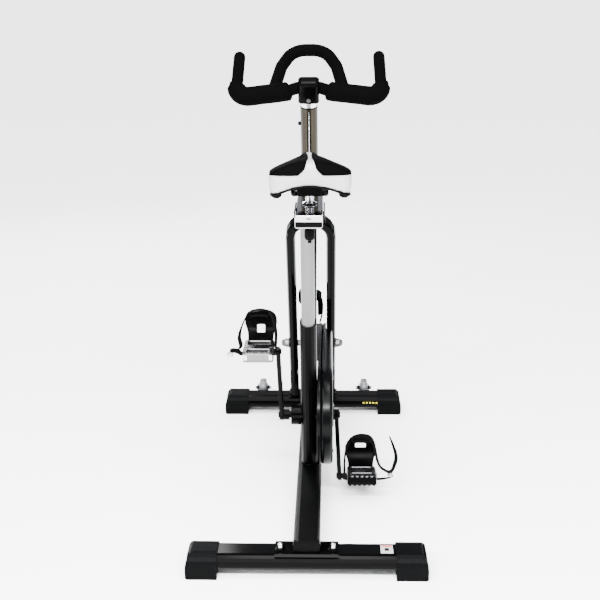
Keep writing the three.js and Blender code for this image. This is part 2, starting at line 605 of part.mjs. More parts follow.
// ---------------------------------------------------------------- crank set, chain and cover
function crankSet() {
  const crank = group(bike, 0, CRANK.y, CRANK.z);
  const bore = CRANK.spindleRadius + GAP;
  const shellProfile = [[bore, -46], [26, -46], [26, -21], [21, -21], [21, 20], [bore, 20], [bore, -46]];
  add(crank, "bottom_bracket_shell", turnedX(shellProfile), FINISH.paint);
  const { armIn, armOut, spindleRadius } = CRANK;
  const end = armOut + 4;
  add(crank, "crank_spindle", rodX(spindleRadius, -end, end), FINISH.chrome);

  for (const [side, sign] of SIDES) {
    const up = -sign * CRANK.length; // the left pedal is at the top
    const flare = new THREE.Matrix4().makeShear(0, 0, 0, 0, CRANK.flare / up, 0);
    const blade = extrudeX(beltOutline([0, 0], 15, [0, up], 12, 6), armIn, armOut, [], 2).applyMatrix4(flare);
    const bossStart = side === "left" ? 50 : armIn - 2;
    const boss = rodX(14, bossStart, armOut + 1, 16);
    const bores = [
      rodX(spindleRadius + GAP, 0, 120),
      rodX(7 + GAP, 0, 120, 12).translate(0, 0, up),
    ];
    const arm = cut(join(blade, boss), ...bores);
    add(crank, `crank_arm_${side}`, arm, FINISH.paint).scale.x = sign;
    pedal(crank, side, sign, up);
  }

  const { x, width, ringRadius } = CHAIN;
  const windows = Array.from({ length: 5 }, (_, i) => {
    const angle = (2 * Math.PI * i) / 5;
    return circle(24, 10, [60 * Math.cos(angle), 60 * Math.sin(angle)]);
  });
  const ring = extrudeX(circle(ringRadius, 48), x - 2, x + 2, [circle(spindleRadius + GAP), ...windows]);
  add(crank, "chainring", ring, FINISH.steel);
  const fly = [flywheelY - CRANK.y, FLYWHEEL.z - CRANK.z];
  const loop = (grow) => beltOutline([0, 0], ringRadius + grow, fly, CHAIN.sprocketRadius + grow, 16);
  const chain = extrudeX(loop(CHAIN.thickness), x - width / 2, x + width / 2, [loop(0.6)]);
  add(crank, "chain", chain, FINISH.steel);
  chainCover(crank, fly);
}

function chainCover(crank, fly) {
  const { inX, seamX, outX, wall, rearRadius, frontRadius } = COVER;
  const outline = (shrink) => beltOutline([0, 0], rearRadius - shrink, fly, frontRadius - shrink, 14);
  const flyHole = rodX(FLYWHEEL.hubRadius + 4, 0, 100, 20).translate(0, ...fly);
  const spindleHole = rodX(17.5, 0, 100, 20);
  const dish = extrudeX(outline(0), inX, seamX);
  const dishRoom = extrudeX(outline(wall), inX + wall, seamX + 1);
  add(crank, "chain_cover_inner", cut(dish, dishRoom, flyHole, spindleHole), FINISH.plastic);

  // Ahead of the fork leg's rear face the outer half keeps to the leg's inside.
  const ahead = box(COVER.legClear, 200, -FORK.legDepth / 2 - 3, 400, -400, 800);
  const legSide = leaning(ahead, FORK.rake, FORK.footY - CRANK.y, FLOOR_TO_PLATE - CRANK.z);
  const edge = 9;
  const square = extrudeX(outline(0), seamX + GAP, outX);
  const round = extrudeX(outline(0), seamX - edge - 1, outX, [], edge);
  const hollowing = extrudeX(outline(wall), seamX - edge - 1, outX - wall, [], edge);
  const outerShell = cut(common(square, round), hollowing, spindleHole, legSide);
  add(crank, "chain_cover_outer", biggest(outerShell), FINISH.plastic);
}

// ---------------------------------------------------------------- pedals with toe cages and straps
function pedal(crank, side, sign, up) {
  const set = group(crank, 0, 0, up, side === "left" ? PEDAL.leftTilt : PEDAL.rightTilt);
  const { width, length, thickness } = PEDAL;
  const inner = PEDAL[side];
  const outer = inner + width;
  const middle = (inner + outer) / 2;
  const spindle = rodX(7, CRANK.armIn + CRANK.flare - 3, outer - 8, 12);
  add(set, `pedal_spindle_${side}`, spindle, FINISH.chrome).scale.x = sign;

  const plan = roundedRect(width, length, 10).map((p) => p.add(new THREE.Vector2(middle, 0)));
  const window = (y) => roundedRect(width - 20, 24, 4, 2).map((p) => p.add(new THREE.Vector2(middle, y)));
  const body = cut(
    extrudeZ(plan, -thickness / 2, thickness / 2, [window(26), window(-26)], 2),
    rodX(7 + GAP, inner - 5, outer - 8 + GAP, 12),
  );
  add(set, `pedal_body_${side}`, body, FINISH.satin).scale.x = sign;
  const opening = side === "left" ? [19, 18, 19] : [28, 14, 50];
  add(set, `toe_cage_${side}`, toeCage(middle, opening), FINISH.plastic).scale.x = sign;
  const route = side === "left" ? leftStrapRoute(inner, outer) : rightStrapRoute(inner, outer);
  add(set, `pedal_strap_${side}`, pedalStrap(route), FINISH.webbing).scale.x = sign;
}

// A moulded toe box: a bent band seen from the side, trimmed to its front outline, with a window.
function toeCage(middle, [windowWidth, windowHeight, windowZ]) {
  const line = new THREE.CatmullRomCurve3(
    [[PEDAL.length / 2 + GAP, -4], [72, -2], [98, 12], [108, 36], [102, 62], [82, 78], [58, 82], [36, 78]]
      .map(([y, z]) => new THREE.Vector3(0, y, z)),
  ).getPoints(14);
  const band = sweep(line, X_AXIS, roundedRect(3, 90, 0.1, 1)).translate(middle, 0, 0);
  const right = [
    [0, -12], [30, -12], [31, 4], [33, 14], [40, 34], [39, 50], [34, 62], [22, 76], [20, 90], [0, 90],
  ];
  const outline = points([...right, ...right.slice(1, -1).reverse().map(([x, z]) => [-x, z])])
    .map((p) => p.add(new THREE.Vector2(middle, 0)));
  const window = roundedRect(windowWidth, windowHeight, 5, 2)
    .map((p) => p.add(new THREE.Vector2(middle, windowZ)));
  return common(band, extrudeY(outline, 20, 130, [window]));
}

// Webbing: under the pedal, up its inner side, over the toe box, then out to the buckle and a slack tail.
const STRAP_UNDER = -PEDAL.thickness / 2 - 2.2;
const rightStrapRoute = (inner, outer) => [
  [outer + 40, -10], [outer + 4, STRAP_UNDER], [inner - 3, STRAP_UNDER], [inner - 6, 2], [inner - 4, 46],
  [inner + 10, 82], [inner + 38, 92], [outer - 10, 82], [outer + 5, 30], [outer + 16, 12], [outer + 38, 4],
  [outer + 50, 24], [outer + 53, 44], [outer + 46, 68], [outer + 37, 90],
];
const leftStrapRoute = (inner, outer) => [
  [outer + 32, -50], [outer + 28, -28], [outer + 14, STRAP_UNDER - 2], [outer + 2, STRAP_UNDER],
  [inner - 1, STRAP_UNDER], [inner - 3.4, 2], [inner - 3, 46], [inner + 10, 82], [inner + 38, 92],
  [outer - 10, 82], [outer + 10, 48], [outer + 13, 24], [outer + 20, 4], [outer + 38, -8],
];
function pedalStrap(flat) {
  const lean = 0.34; // the loop leans forward as it rises
  const stops = flat.map(([x, z]) => new THREE.Vector3(x, 0, z));
  const curve = new THREE.CatmullRomCurve3(stops, false, "centripetal").getPoints(28);
  return sweep(curve, Y_AXIS, roundedRect(1.6, 12, 0.1, 1))
    .applyMatrix4(new THREE.Matrix4().makeShear(0, 0, 0, 0, 0, lean))
    .translate(0, 22, 0);
}

// ---------------------------------------------------------------- flywheel, axle and brake
function flywheelAssembly() {
  const fly = group(bike, 0, flywheelY, FLYWHEEL.z);
  const { radius, rim, web, hubRadius } = FLYWHEEL;
  const inside = 9 + GAP;
  const profile = [
    [inside, -18], [hubRadius, -18], [hubRadius, -web / 2], [radius - 34, -web / 2], [radius - 30, -rim / 2],
    [radius - 2, -rim / 2], [radius, -rim / 2 + 2], [radius, rim / 2 - 2], [radius - 2, rim / 2],
    [radius - 30, rim / 2], [radius - 34, web / 2], [hubRadius, web / 2], [hubRadius, CHAIN.x - 2],
    [CHAIN.sprocketRadius, CHAIN.x - 2], [CHAIN.sprocketRadius, CHAIN.x + 2], [inside, CHAIN.x + 2],
    [inside, -18],
  ];
  add(fly, "flywheel", turnedX(profile, 36), FINISH.iron);
  const shaft = turnedX([[0, -92], [7, -92], [9, -90], [9, 86], [7, 88], [0, 88]], 24);
  const face = FORK.halfWidth + FORK.legWidth / 2 + GAP;
  const nuts = [extrudeX(circle(13, 6), face, face + 11), extrudeX(circle(13, 6), -face - 11, -face)];
  add(fly, "flywheel_axle", join(shaft, ...nuts), FINISH.chrome);
  const holes = rodX(9 + GAP, -120, 120, 24);
  const forkMesh = bike.getObjectByName("fork");
  forkMesh.geometry = cut(forkMesh.geometry, holes.translate(0, flywheelY, FLYWHEEL.z));
}

function brake() {
  const set = group(bike, 0, FORK.footY, FLOOR_TO_PLATE, FORK.rake);
  const axleAlong = (FLYWHEEL.z - FLOOR_TO_PLATE) / Math.cos(radians(FORK.rake));
  const shoeY = BRAKE.rodY;
  const top = axleAlong + Math.sqrt(FLYWHEEL.radius ** 2 - shoeY ** 2);
  const arms = points([
    [-29, top - 44], [-20, top - 52], [-17, top - 44], [-17, top + 8], [17, top + 8], [17, top - 44],
    [20, top - 52], [29, top - 44], [29, top + 14], [20, top + 24], [-20, top + 24], [-29, top + 14],
  ]);
  const caliper = cut(extrudeY(arms, shoeY - 22, shoeY + 14, [], 2), wheelRoom(axleAlong));
  add(set, "brake_caliper", caliper, FINISH.paint);
  const rodLow = top + 24 + GAP;
  const rod = extrudeZ(circle(BRAKE.rodRadius, 12, [0, BRAKE.rodY]), rodLow, BRAKE.rodTop);
  add(set, "tension_rod", rod, FINISH.chrome);
  const grip = [[0, 0], [9, 0], [17, 6], [18, 26], [14, 32], [0, 33]];
  const knobAt = [0, BRAKE.rodY, BRAKE.rodTop + GAP];
  add(set, "tension_knob", turned(grip, 16), FINISH.plastic).position.set(...knobAt);
}

// Room for the flywheel's rim inside the caliper, with running clearance.
function wheelRoom(axleAlong) {
  return rodX(FLYWHEEL.radius + 2, -FLYWHEEL.rim / 2 - 2, FLYWHEEL.rim / 2 + 2, 48).translate(0, 0, axleAlong);
}

// ---------------------------------------------------------------- transport wheels
function transportWheels() {
  const { x, y, z, radius, width } = WHEEL;
  const stabilizerFace = BASE_SPACING + STABILIZER.depth / 2 + GAP;
  for (const [side, sign] of SIDES) {
    const set = group(bike, sign * x, y, z);
    const tyre = [
      [6 + GAP, -width / 2], [radius - 4, -width / 2], [radius, -width / 2 + 5], [radius, width / 2 - 5],
      [radius - 4, width / 2], [6 + GAP, width / 2], [6 + GAP, -width / 2],
    ];
    add(set, `transport_wheel_${side}`, turnedX(tyre, 24), FINISH.clearTyre);
    const half = width / 2 + 1.5;
    const cheek = beltOutline([0, 0], 11, [stabilizerFace - y + 5, -8], 12, 6);
    const backCut = box(-60, 60, -80, stabilizerFace - y, -60, 60);
    const cheeks = [-1, 1].map((s) => extrudeX(cheek, s > 0 ? half : -half - 3, s > 0 ? half + 3 : -half));
    const backPlate = box(-half - 3, half + 3, stabilizerFace - y, stabilizerFace - y + 3, -19, 3);
    const pin = rodX(6, -half - 7, half + 7, 12);
    add(set, `wheel_bracket_${side}`, cut(join(backPlate, ...cheeks, pin), backCut), FINISH.paint);
  }
}

stabilizers();
basePlates();
frameTubes();
seatAssembly();
handlebarAssembly();
crankSet();
flywheelAssembly();
brake();
transportWheels();

export default bike;
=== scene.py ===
# Exercise bike: finishes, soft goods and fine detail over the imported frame. Metres, +Y forward, +Z up.
import json
import math

import bmesh
import bpy
from mathutils import Matrix, Vector, noise
from mathutils.bvhtree import BVHTree


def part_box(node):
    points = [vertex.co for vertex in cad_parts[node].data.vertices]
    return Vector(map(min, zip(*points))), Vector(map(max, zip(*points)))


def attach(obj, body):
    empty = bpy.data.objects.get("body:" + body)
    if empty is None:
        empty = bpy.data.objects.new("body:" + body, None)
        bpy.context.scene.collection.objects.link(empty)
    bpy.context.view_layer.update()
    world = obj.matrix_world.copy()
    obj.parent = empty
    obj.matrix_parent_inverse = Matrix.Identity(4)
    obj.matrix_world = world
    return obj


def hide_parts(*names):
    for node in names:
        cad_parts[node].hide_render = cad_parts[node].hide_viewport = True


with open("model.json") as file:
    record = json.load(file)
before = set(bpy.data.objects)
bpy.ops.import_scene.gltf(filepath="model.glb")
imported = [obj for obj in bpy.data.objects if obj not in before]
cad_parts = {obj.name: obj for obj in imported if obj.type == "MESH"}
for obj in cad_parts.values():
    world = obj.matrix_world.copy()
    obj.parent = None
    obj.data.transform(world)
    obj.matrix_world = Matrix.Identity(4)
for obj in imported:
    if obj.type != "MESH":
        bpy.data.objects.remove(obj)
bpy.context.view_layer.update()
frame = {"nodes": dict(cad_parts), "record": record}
nodes = frame["nodes"]

# ---------------------------------------------------------------- sizes (metres)
SHIFT = 0.529  # the frame's origin lies this far ahead of the rear stabilizer
PLATE_TOP = 0.0603
RAKE = math.radians(26.7)  # fork and handlebar post
LEAN = math.radians(16)  # seat tube and seat post
FORK_FOOT = 0.985
BAR_ALONG = 1.107
CRANK = Vector((0, 0.365 - SHIFT, 0.237))
CRANK_LENGTH = 0.17
AXLE = Vector((0, FORK_FOOT - math.tan(RAKE) * (0.260 - PLATE_TOP) - SHIFT, 0.260))
FLYWHEEL_RADIUS = 0.15
PEDALS = {"left": (-0.126, 1, 5), "right": (0.135, -1, -8)}  # middle X, up or down, tilt in degrees
BALL_STEPS = 8  # rings in a tube's round end
CLOTH_FRAMES = 12
CLOTH_CAP = 0.0025  # the pad's cloth pass moves no point further
PANEL_LIFT = 0.0017  # the saddle's black panels over its pad
BAR_AT = Vector((0, FORK_FOOT - math.sin(RAKE) * BAR_ALONG - SHIFT, PLATE_TOP + math.cos(RAKE) * BAR_ALONG))


def bike(x, y, z):
    """A point given in millimetres from the middle of the rear stabilizer."""
    return Vector((x / 1000, y / 1000 - SHIFT, z / 1000))


def placed(name, data):
    """A new object in the scene."""
    made = bpy.data.objects.new(name, data)
    bpy.context.scene.collection.objects.link(made)
    return made


# ---------------------------------------------------------------- camera and light
camera_data = bpy.data.cameras.new("camera")
camera_data.lens = 64.84
camera_data.sensor_width = 36
camera_data.clip_end = 1000
camera = placed("camera", camera_data)
yaw, pitch, roll = (math.radians(a) for a in (1.61, 15.84, -0.416))
turn = Matrix.Rotation(yaw, 3, "Z")
forward = turn @ Vector((0, math.cos(pitch), -math.sin(pitch)))
side = turn @ Vector((1, 0, 0))
up = side.cross(forward)
right = math.cos(roll) * side + math.sin(roll) * up
above = -math.sin(roll) * side + math.cos(roll) * up
camera.matrix_world = Matrix((right, above, -forward)).transposed().to_4x4()
camera.location = bike(50.9, -2213.4, 1272.9)
bpy.context.scene.camera = camera


def light(name, kind, energy, place, target, size=(1, 1)):
    data = bpy.data.lights.new(name, kind)
    data.energy = energy
    if kind == "AREA":
        data.shape = "RECTANGLE"
        data.size, data.size_y = size
    else:
        data.angle = math.radians(size[0])
    lamp = placed(name, data)
    lamp.location = place
    lamp.rotation_euler = (Vector(target) - Vector(place)).to_track_quat("-Z", "Y").to_euler()


light("sun", "SUN", 11, (-1, -2, 5), (0, 0, 0), (70, 0))
light("strip_right", "AREA", 90, (2.6, -2.2, 1.6), (0, 0, 0.6), (0.12, 2.6))
light("strip_left", "AREA", 80, (-2.4, -2.4, 1.2), (0, 0, 0.6), (0.08, 2.2))
light("back_strip", "AREA", 560, (0, -2.75, 2.35), (0, -0.3, 0.2), (2.6, 0.05))
light("top", "AREA", 60, (0.3, -0.6, 3.2), (0, -0.2, 0.4), (1.6, 0.6))
light("front", "AREA", 90, (-1.2, 3.0, 2.2), (0, 0, 0.5), (1.4, 1.4))


def new_node(tree, kind, **inputs):
    """Adds a shader node and sets its inputs; an underscore stands for a space in their names."""
    made = tree.nodes.new("ShaderNode" + kind)
    for name, value in inputs.items():
        made.inputs[name.replace("_", " ")].default_value = value
    return made


world = bpy.data.worlds.new("studio")
bpy.context.scene.world = world
world.use_nodes = True
tree = world.node_tree
tree.nodes.clear()
out = new_node(tree, "OutputWorld")
mix = new_node(tree, "MixShader")
path = new_node(tree, "LightPath")
ambient = new_node(tree, "Background", Color=(0.9, 0.93, 1, 1), Strength=0.7)
backdrop = new_node(tree, "Background", Color=(1, 1, 1, 1), Strength=4.5)  # keeps the horizon pale
tree.links.new(path.outputs["Is Camera Ray"], mix.inputs[0])
tree.links.new(ambient.outputs[0], mix.inputs[1])
tree.links.new(backdrop.outputs[0], mix.inputs[2])
tree.links.new(mix.outputs[0], out.inputs[0])


# ---------------------------------------------------------------- materials
def embossed(tree, height, strength, distance):
    """Presses a height into the finish as a bump."""
    relief = new_node(tree, "Bump", Strength=strength, Distance=distance)
    tree.links.new(height, relief.inputs["Height"])
    tree.links.new(relief.outputs["Normal"], tree.nodes["Principled BSDF"].inputs["Normal"])


def material(name, color, rough, metal=0.0, specular=0.5, rough_spread=0.05, tint=0.06, scale=60.0, bump=0.05,
             bump_scale=400.0, stretch=(1, 1, 1)):
    """A procedural finish: mottled colour, uneven roughness and a fine bump."""
    made = bpy.data.materials.new(name)
    made.use_nodes = True
    tree = made.node_tree
    shader = tree.nodes["Principled BSDF"]
    shader.inputs["Metallic"].default_value = metal
    shader.inputs["Specular IOR Level"].default_value = specular
    place = new_node(tree, "TexCoord")
    spread = new_node(tree, "Mapping", Scale=stretch)
    tree.links.new(place.outputs["Object"], spread.inputs["Vector"])
    cloud = new_node(tree, "TexNoise", Scale=scale, Detail=4)
    tree.links.new(spread.outputs["Vector"], cloud.inputs["Vector"])
    ramp = new_node(tree, "ValToRGB")
    ramp.color_ramp.elements[0].color = [c * (1 - tint) for c in color] + [1]
    ramp.color_ramp.elements[1].color = [min(1, c * (1 + tint)) for c in color] + [1]
    tree.links.new(cloud.outputs["Fac"], ramp.inputs["Fac"])
    tree.links.new(ramp.outputs["Color"], shader.inputs["Base Color"])
    uneven = new_node(tree, "MapRange", To_Min=max(0.02, rough - rough_spread), To_Max=rough + rough_spread)
    tree.links.new(cloud.outputs["Fac"], uneven.inputs["Value"])
    tree.links.new(uneven.outputs["Result"], shader.inputs["Roughness"])
    grain = new_node(tree, "TexNoise", Scale=bump_scale, Detail=3)
    tree.links.new(spread.outputs["Vector"], grain.inputs["Vector"])
    embossed(tree, grain.outputs["Fac"], bump, 0.0006)
    return made


def woven(name, color, pitch):
    """Webbing: two crossed sets of ribs at the yarn's pitch."""
    made = material(name, color, 0.75, specular=0.03, tint=0.25, scale=900, bump=0.2)
    tree = made.node_tree
    heights = []
    for axis in ("X", "Z"):
        rib = new_node(tree, "TexWave", Scale=1 / pitch / 6)
        rib.bands_direction = axis
        tree.links.new(tree.nodes["Texture Coordinate"].outputs["Object"], rib.inputs["Vector"])
        heights.append(rib)
    both = new_node(tree, "Math")
    both.operation = "MULTIPLY"
    for rib, factor in zip(heights, both.inputs):
        tree.links.new(rib.outputs["Fac"], factor)
    embossed(tree, both.outputs[0], 0.6, 0.0005)
    return made


PAINT = material("gloss_paint", (0.0004, 0.0004, 0.00045), 0.1, specular=0.03, rough_spread=0.03,
                 bump=0.03, bump_scale=900)
SATIN_PAINT = material("satin_paint", (0.0004, 0.0004, 0.00045), 0.36, specular=0.03, bump=0.03, bump_scale=900)
FOAM = material("closed_foam", (0.0005, 0.0005, 0.0005), 0.85, specular=0.01, rough_spread=0.1, tint=0.35,
                scale=500, bump=0.5, bump_scale=1400)
RUBBER = material("cap_rubber", (0.0008, 0.0009, 0.001), 0.5, specular=0.02, tint=0.2, scale=300, bump=0.25,
                  bump_scale=1500)
PLASTIC = material("moulded_plastic", (0.0006, 0.0006, 0.0006), 0.4, specular=0.025, tint=0.15, scale=200, bump=0.2,
                   bump_scale=1800)
COVER = material("cover_plastic", (0.0006, 0.0007, 0.0008), 0.22, specular=0.05, tint=0.1, bump=0.08, bump_scale=1200)
CHROME = material("chrome", (0.78, 0.78, 0.79), 0.07, metal=1, rough_spread=0.03, bump=0.02)
# The seat slide's chrome: its near-black base colour is a painted reflection of the black saddle clamp over its top.
SLIDE_CHROME_PAINTED_REFLECTION = material("slide_chrome_painted_reflection", (0.035, 0.034, 0.034), 0.08, metal=1, rough_spread=0.03, tint=0.3, scale=30,
                       bump=0.02)
# The handlebar post's chrome: its dark brown base colour is a painted reflection of a dark brown floor.
POST_CHROME_PAINTED_REFLECTION = material("post_chrome_painted_reflection", (0.024, 0.021, 0.0165), 0.1, metal=1, rough_spread=0.03, tint=0.15, bump=0.02,
                       stretch=(1, 1, 0.05))
SATIN = material("satin_post", (0.11, 0.11, 0.112), 0.32, metal=0.8, rough_spread=0.06, scale=120, bump=0.12,
                 bump_scale=600, stretch=(1, 1, 0.04))
STEEL = material("plain_steel", (0.07, 0.069, 0.066), 0.3, metal=1, rough_spread=0.1, tint=0.15, scale=150, bump=0.1)
ALLOY = material("cast_alloy", (0.13, 0.13, 0.133), 0.24, metal=1, rough_spread=0.08, tint=0.5, scale=250, bump=0.2,
                 bump_scale=1500)
# The right pedal's alloy: a darker copy of the left pedal's cast alloy, painted shade on the lower pedal.
PEDAL_ALLOY_PAINTED_SHADE = material("pedal_alloy_painted_shade", (0.05, 0.05, 0.052), 0.28, metal=1, rough_spread=0.1, tint=0.5, scale=140,
                      bump=0.2, bump_scale=1500)
IRON = material("turned_iron", (0.012, 0.0125, 0.0135), 0.35, metal=0.9, rough_spread=0.1, tint=0.2, scale=90,
                bump=0.2, bump_scale=900)
SILVER_VINYL = material("silver_vinyl", (0.3, 0.303, 0.31), 0.38, metal=0.0, specular=0.4, tint=0.05, scale=80,
                        bump=0.22, bump_scale=1300)
BLACK_VINYL = material("black_vinyl", (0.0004, 0.0004, 0.0004), 0.7, specular=0.01, tint=0.25, scale=300, bump=0.35,
                       bump_scale=1400)
WEBBING = woven("webbing", (0.0008, 0.0008, 0.0008), 0.0012)
WHEEL = material("clear_tyre", (0.055, 0.057, 0.06), 0.35, specular=0.5, tint=0.1, scale=200, bump=0.1)
# The slide's chrome end cap: its pale grey, part-metal colour is a painted white reflection.
POLISHED_PAINTED_REFLECTION = material("end_cap_painted_reflection", (0.5, 0.5, 0.51), 0.2, metal=0.35, specular=0.5, tint=0.04, bump=0.03)
LABEL = material("label_white", (0.3, 0.3, 0.3), 0.4, tint=0.03, bump=0.02)
LABEL_RED = material("label_red", (0.4, 0.02, 0.02), 0.4, tint=0.05, bump=0.02)
LABEL_YELLOW = material("label_yellow", (0.4, 0.33, 0.006), 0.4, tint=0.05, bump=0.02)

FINISHES = {
    "paint": PAINT, "foam_loop": FOAM, "foam": FOAM, "rubber": RUBBER, "plastic": PLASTIC, "cover": COVER,
    "chrome": CHROME, "satin_steel": SATIN, "steel": STEEL, "alloy": ALLOY, "iron": IRON, "vinyl": SILVER_VINYL,
    "webbing": WEBBING, "wheel": WHEEL,
}


# ---------------------------------------------------------------- building tools
def link(mesh, finish, body, slot, *replaced, smooth=35):
    """Makes a mesh a piece of the bike: its finish, its body and the CAD nodes that it stands for."""
    made = placed(mesh.name, mesh)
    if not mesh.materials:
        mesh.materials.append(finish)
    mesh.shade_smooth()
    if smooth:
        mesh.set_sharp_from_angle(angle=math.radians(smooth))
    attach(made, body)
    if replaced:
        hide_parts(*replaced)
    return made


def mesh_of(name, verts, faces):
    mesh = bpy.data.meshes.new(name)
    mesh.from_pydata([tuple(v) for v in verts], [], faces)
    mesh.update()
    return mesh


def sheet_faces(rows, steps):
    """The faces of a sheet of points: rows, each with steps + 1 points."""
    width = steps + 1
    return [(r * width + k, r * width + k + 1, (r + 1) * width + k + 1, (r + 1) * width + k)
            for r in range(rows - 1) for k in range(steps)]


def hose_faces(rings, sides):
    """The faces round closed rings of points, with a flat face at each end."""
    faces = [(r * sides + k, r * sides + (k + 1) % sides, (r + 1) * sides + (k + 1) % sides, (r + 1) * sides + k)
             for r in range(rings - 1) for k in range(sides)]
    return faces + [tuple(reversed(range(sides))), tuple(range((rings - 1) * sides, rings * sides))]


def outward(mesh, merge=0.0):
    """Turns every face of a mesh outwards, first joining points closer than merge."""
    fix = bmesh.new()
    fix.from_mesh(mesh)
    if merge:
        bmesh.ops.remove_doubles(fix, verts=fix.verts, dist=merge)
    bmesh.ops.recalc_face_normals(fix, faces=fix.faces)
    fix.to_mesh(mesh)
    fix.free()
    return mesh


def softened(mesh, edge):
    """Rounds all edges of a mesh."""
    fix = bmesh.new()
    fix.from_mesh(mesh)
    bmesh.ops.bevel(fix, geom=fix.edges[:], offset=edge, segments=2, affect="EDGES", profile=0.6)
    fix.to_mesh(mesh)
    fix.free()
    return mesh


def baked(made):
    """Applies an object's modifiers to its mesh."""
    graph = bpy.context.evaluated_depsgraph_get()
    mesh = bpy.data.meshes.new_from_object(made.evaluated_get(graph))
    made.modifiers.clear()
    made.data = mesh
    return made


def thickened(made, thickness, levels=0):
    """Gives a sheet its thickness, half to each side, and smooths it."""
    thick = made.modifiers.new("thick", "SOLIDIFY")
    thick.thickness = thickness
    thick.offset = 0
    if levels:
        rounded = made.modifiers.new("rounded", "SUBSURF")
        rounded.levels = rounded.render_levels = levels
    return baked(made)


def bevel(made, width, segments=2, angle=40):
    edge = made.modifiers.new("edge", "BEVEL")
    edge.width = width
    edge.segments = segments
    edge.limit_method = "ANGLE"
    edge.angle_limit = math.radians(angle)
    edge.harden_normals = False
    return made


def bent(corners, steps=10):
    """Points along straight stretches whose corners are rounded: (x, y, z, radius) each."""
    at = [Vector(c[:3]) for c in corners]
    stops = [at[0]]
    for i in range(1, len(at) - 1):
        radius = corners[i][3] if len(corners[i]) > 3 else 0
        back = (at[i - 1] - at[i]).normalized()
        on = (at[i + 1] - at[i]).normalized()
        half = back.angle(on) / 2
        if not radius or abs(half - math.pi / 2) < 1e-4:
            stops.append(at[i])
            continue
        centre = at[i] + (back + on).normalized() * radius / math.sin(half)
        start = at[i] + back * radius / math.tan(half) - centre
        end = at[i] + on * radius / math.tan(half) - centre
        axis = start.cross(end).normalized()
        angle = start.angle(end)
        for k in range(steps + 1):
            stops.append(centre + Matrix.Rotation(angle * k / steps, 3, axis) @ start)
    return stops + [at[-1]]


def resampled(stops, pitch):
    """The same line with points about one pitch apart."""
    line = [stops[0]]
    for a, b in zip(stops, stops[1:]):
        count = max(1, round((b - a).length / pitch))
        line += [a.lerp(b, (k + 1) / count) for k in range(count)]
    return line


def curved(stops, count=40):
    """A Catmull-Rom line through the stops."""
    padded_stops = [stops[0] * 2 - stops[1], *stops, stops[-1] * 2 - stops[-2]]
    line = []
    spans = len(stops) - 1
    for k in range(count + 1):
        place = min(k * spans / count, spans - 1e-6)
        i = int(place)
        t = place - i
        a, b, c, d = padded_stops[i:i + 4]
        line.append(0.5 * (2 * b + (c - a) * t + (2 * a - 5 * b + 4 * c - d) * t**2 + (3 * b - a - 3 * c + d) * t**3))
    return line


def tube(name, stops, radius, sides=24, round_ends=(False, False), radii=None):
    """A closed tube along a line. Round ends are half balls that stop at the line's own ends."""
    stops = [Vector(p) for p in stops]
    lengths = [0.0]
    for a, b in zip(stops, stops[1:]):
        lengths.append(lengths[-1] + (b - a).length)
    total = lengths[-1]
    rings = []
    inner = [(s, p) for s, p in zip(lengths, stops)
             if (not round_ends[0] or s > radius) and (not round_ends[1] or s < total - radius)]

    def at(s):
        for i in range(len(lengths) - 1):
            if s <= lengths[i + 1]:
                return stops[i].lerp(stops[i + 1], (s - lengths[i]) / max(1e-9, lengths[i + 1] - lengths[i]))
        return stops[-1]

    line = []
    if round_ends[0]:
        for k in range(BALL_STEPS + 1):
            angle = math.pi / 2 * k / BALL_STEPS
            line.append((at(radius * (1 - math.cos(angle))), max(0.02, math.sin(angle))))
    line += [(p, 1.0) for _, p in inner]
    if round_ends[1]:
        for k in range(BALL_STEPS, -1, -1):
            angle = math.pi / 2 * k / BALL_STEPS
            line.append((at(total - radius * (1 - math.cos(angle))), max(0.02, math.sin(angle))))
    if radii:
        line = [(p, f * radii(i / (len(line) - 1)) / radius) for i, (p, f) in enumerate(line)]
    side_way = None
    for i, (p, f) in enumerate(line):
        ahead = (line[min(i + 1, len(line) - 1)][0] - line[max(i - 1, 0)][0]).normalized()
        if side_way is None:
            side_way = ahead.orthogonal().normalized()
        side_way = (side_way - side_way.dot(ahead) * ahead).normalized()
        other = ahead.cross(side_way)
        rings.append([p + radius * f * (math.cos(a) * side_way + math.sin(a) * other)
                      for a in (2 * math.pi * k / sides for k in range(sides))])
    verts = [v for ring in rings for v in ring]
    return mesh_of(name, verts, hose_faces(len(rings), sides))


def lathe(name, profile, axis, at, sides=48):
    """Turns a list of (radius, height) round an axis; radius 0 closes the shape."""
    axis = Vector(axis).normalized()
    first = axis.orthogonal().normalized()
    second = axis.cross(first)
    verts, rings = [], []
    for radius, height in profile:
        if radius < 1e-6:
            rings.append([len(verts)])
            verts.append(at + axis * height)
            continue
        rings.append(list(range(len(verts), len(verts) + sides)))
        for k in range(sides):
            angle = 2 * math.pi * k / sides
            verts.append(at + axis * height + radius * (math.cos(angle) * first + math.sin(angle) * second))
    faces = []
    for low, high in zip(rings, rings[1:]):
        for k in range(sides):
            n = (k + 1) % sides
            if len(low) == 1 and len(high) == 1:
                break
            if len(low) == 1:
                faces.append((low[0], high[n], high[k]))
            elif len(high) == 1:
                faces.append((low[k], low[n], high[0]))
            else:
                faces.append((low[k], low[n], high[n], high[k]))
    return outward(mesh_of(name, verts, faces), merge=1e-6)


def prism(name, outline, axes, low, high):
    """An outline in two of the axes, drawn out along the third from low to high."""
    first, second, third = (Vector(a) for a in axes)
    count = len(outline)
    verts = [first * a + second * b + third * h for h in (low, high) for a, b in outline]
    faces = [(k, (k + 1) % count, count + (k + 1) % count, count + k) for k in range(count)]
    faces += [tuple(reversed(range(count))), tuple(range(count, 2 * count))]
    return outward(mesh_of(name, verts, faces))


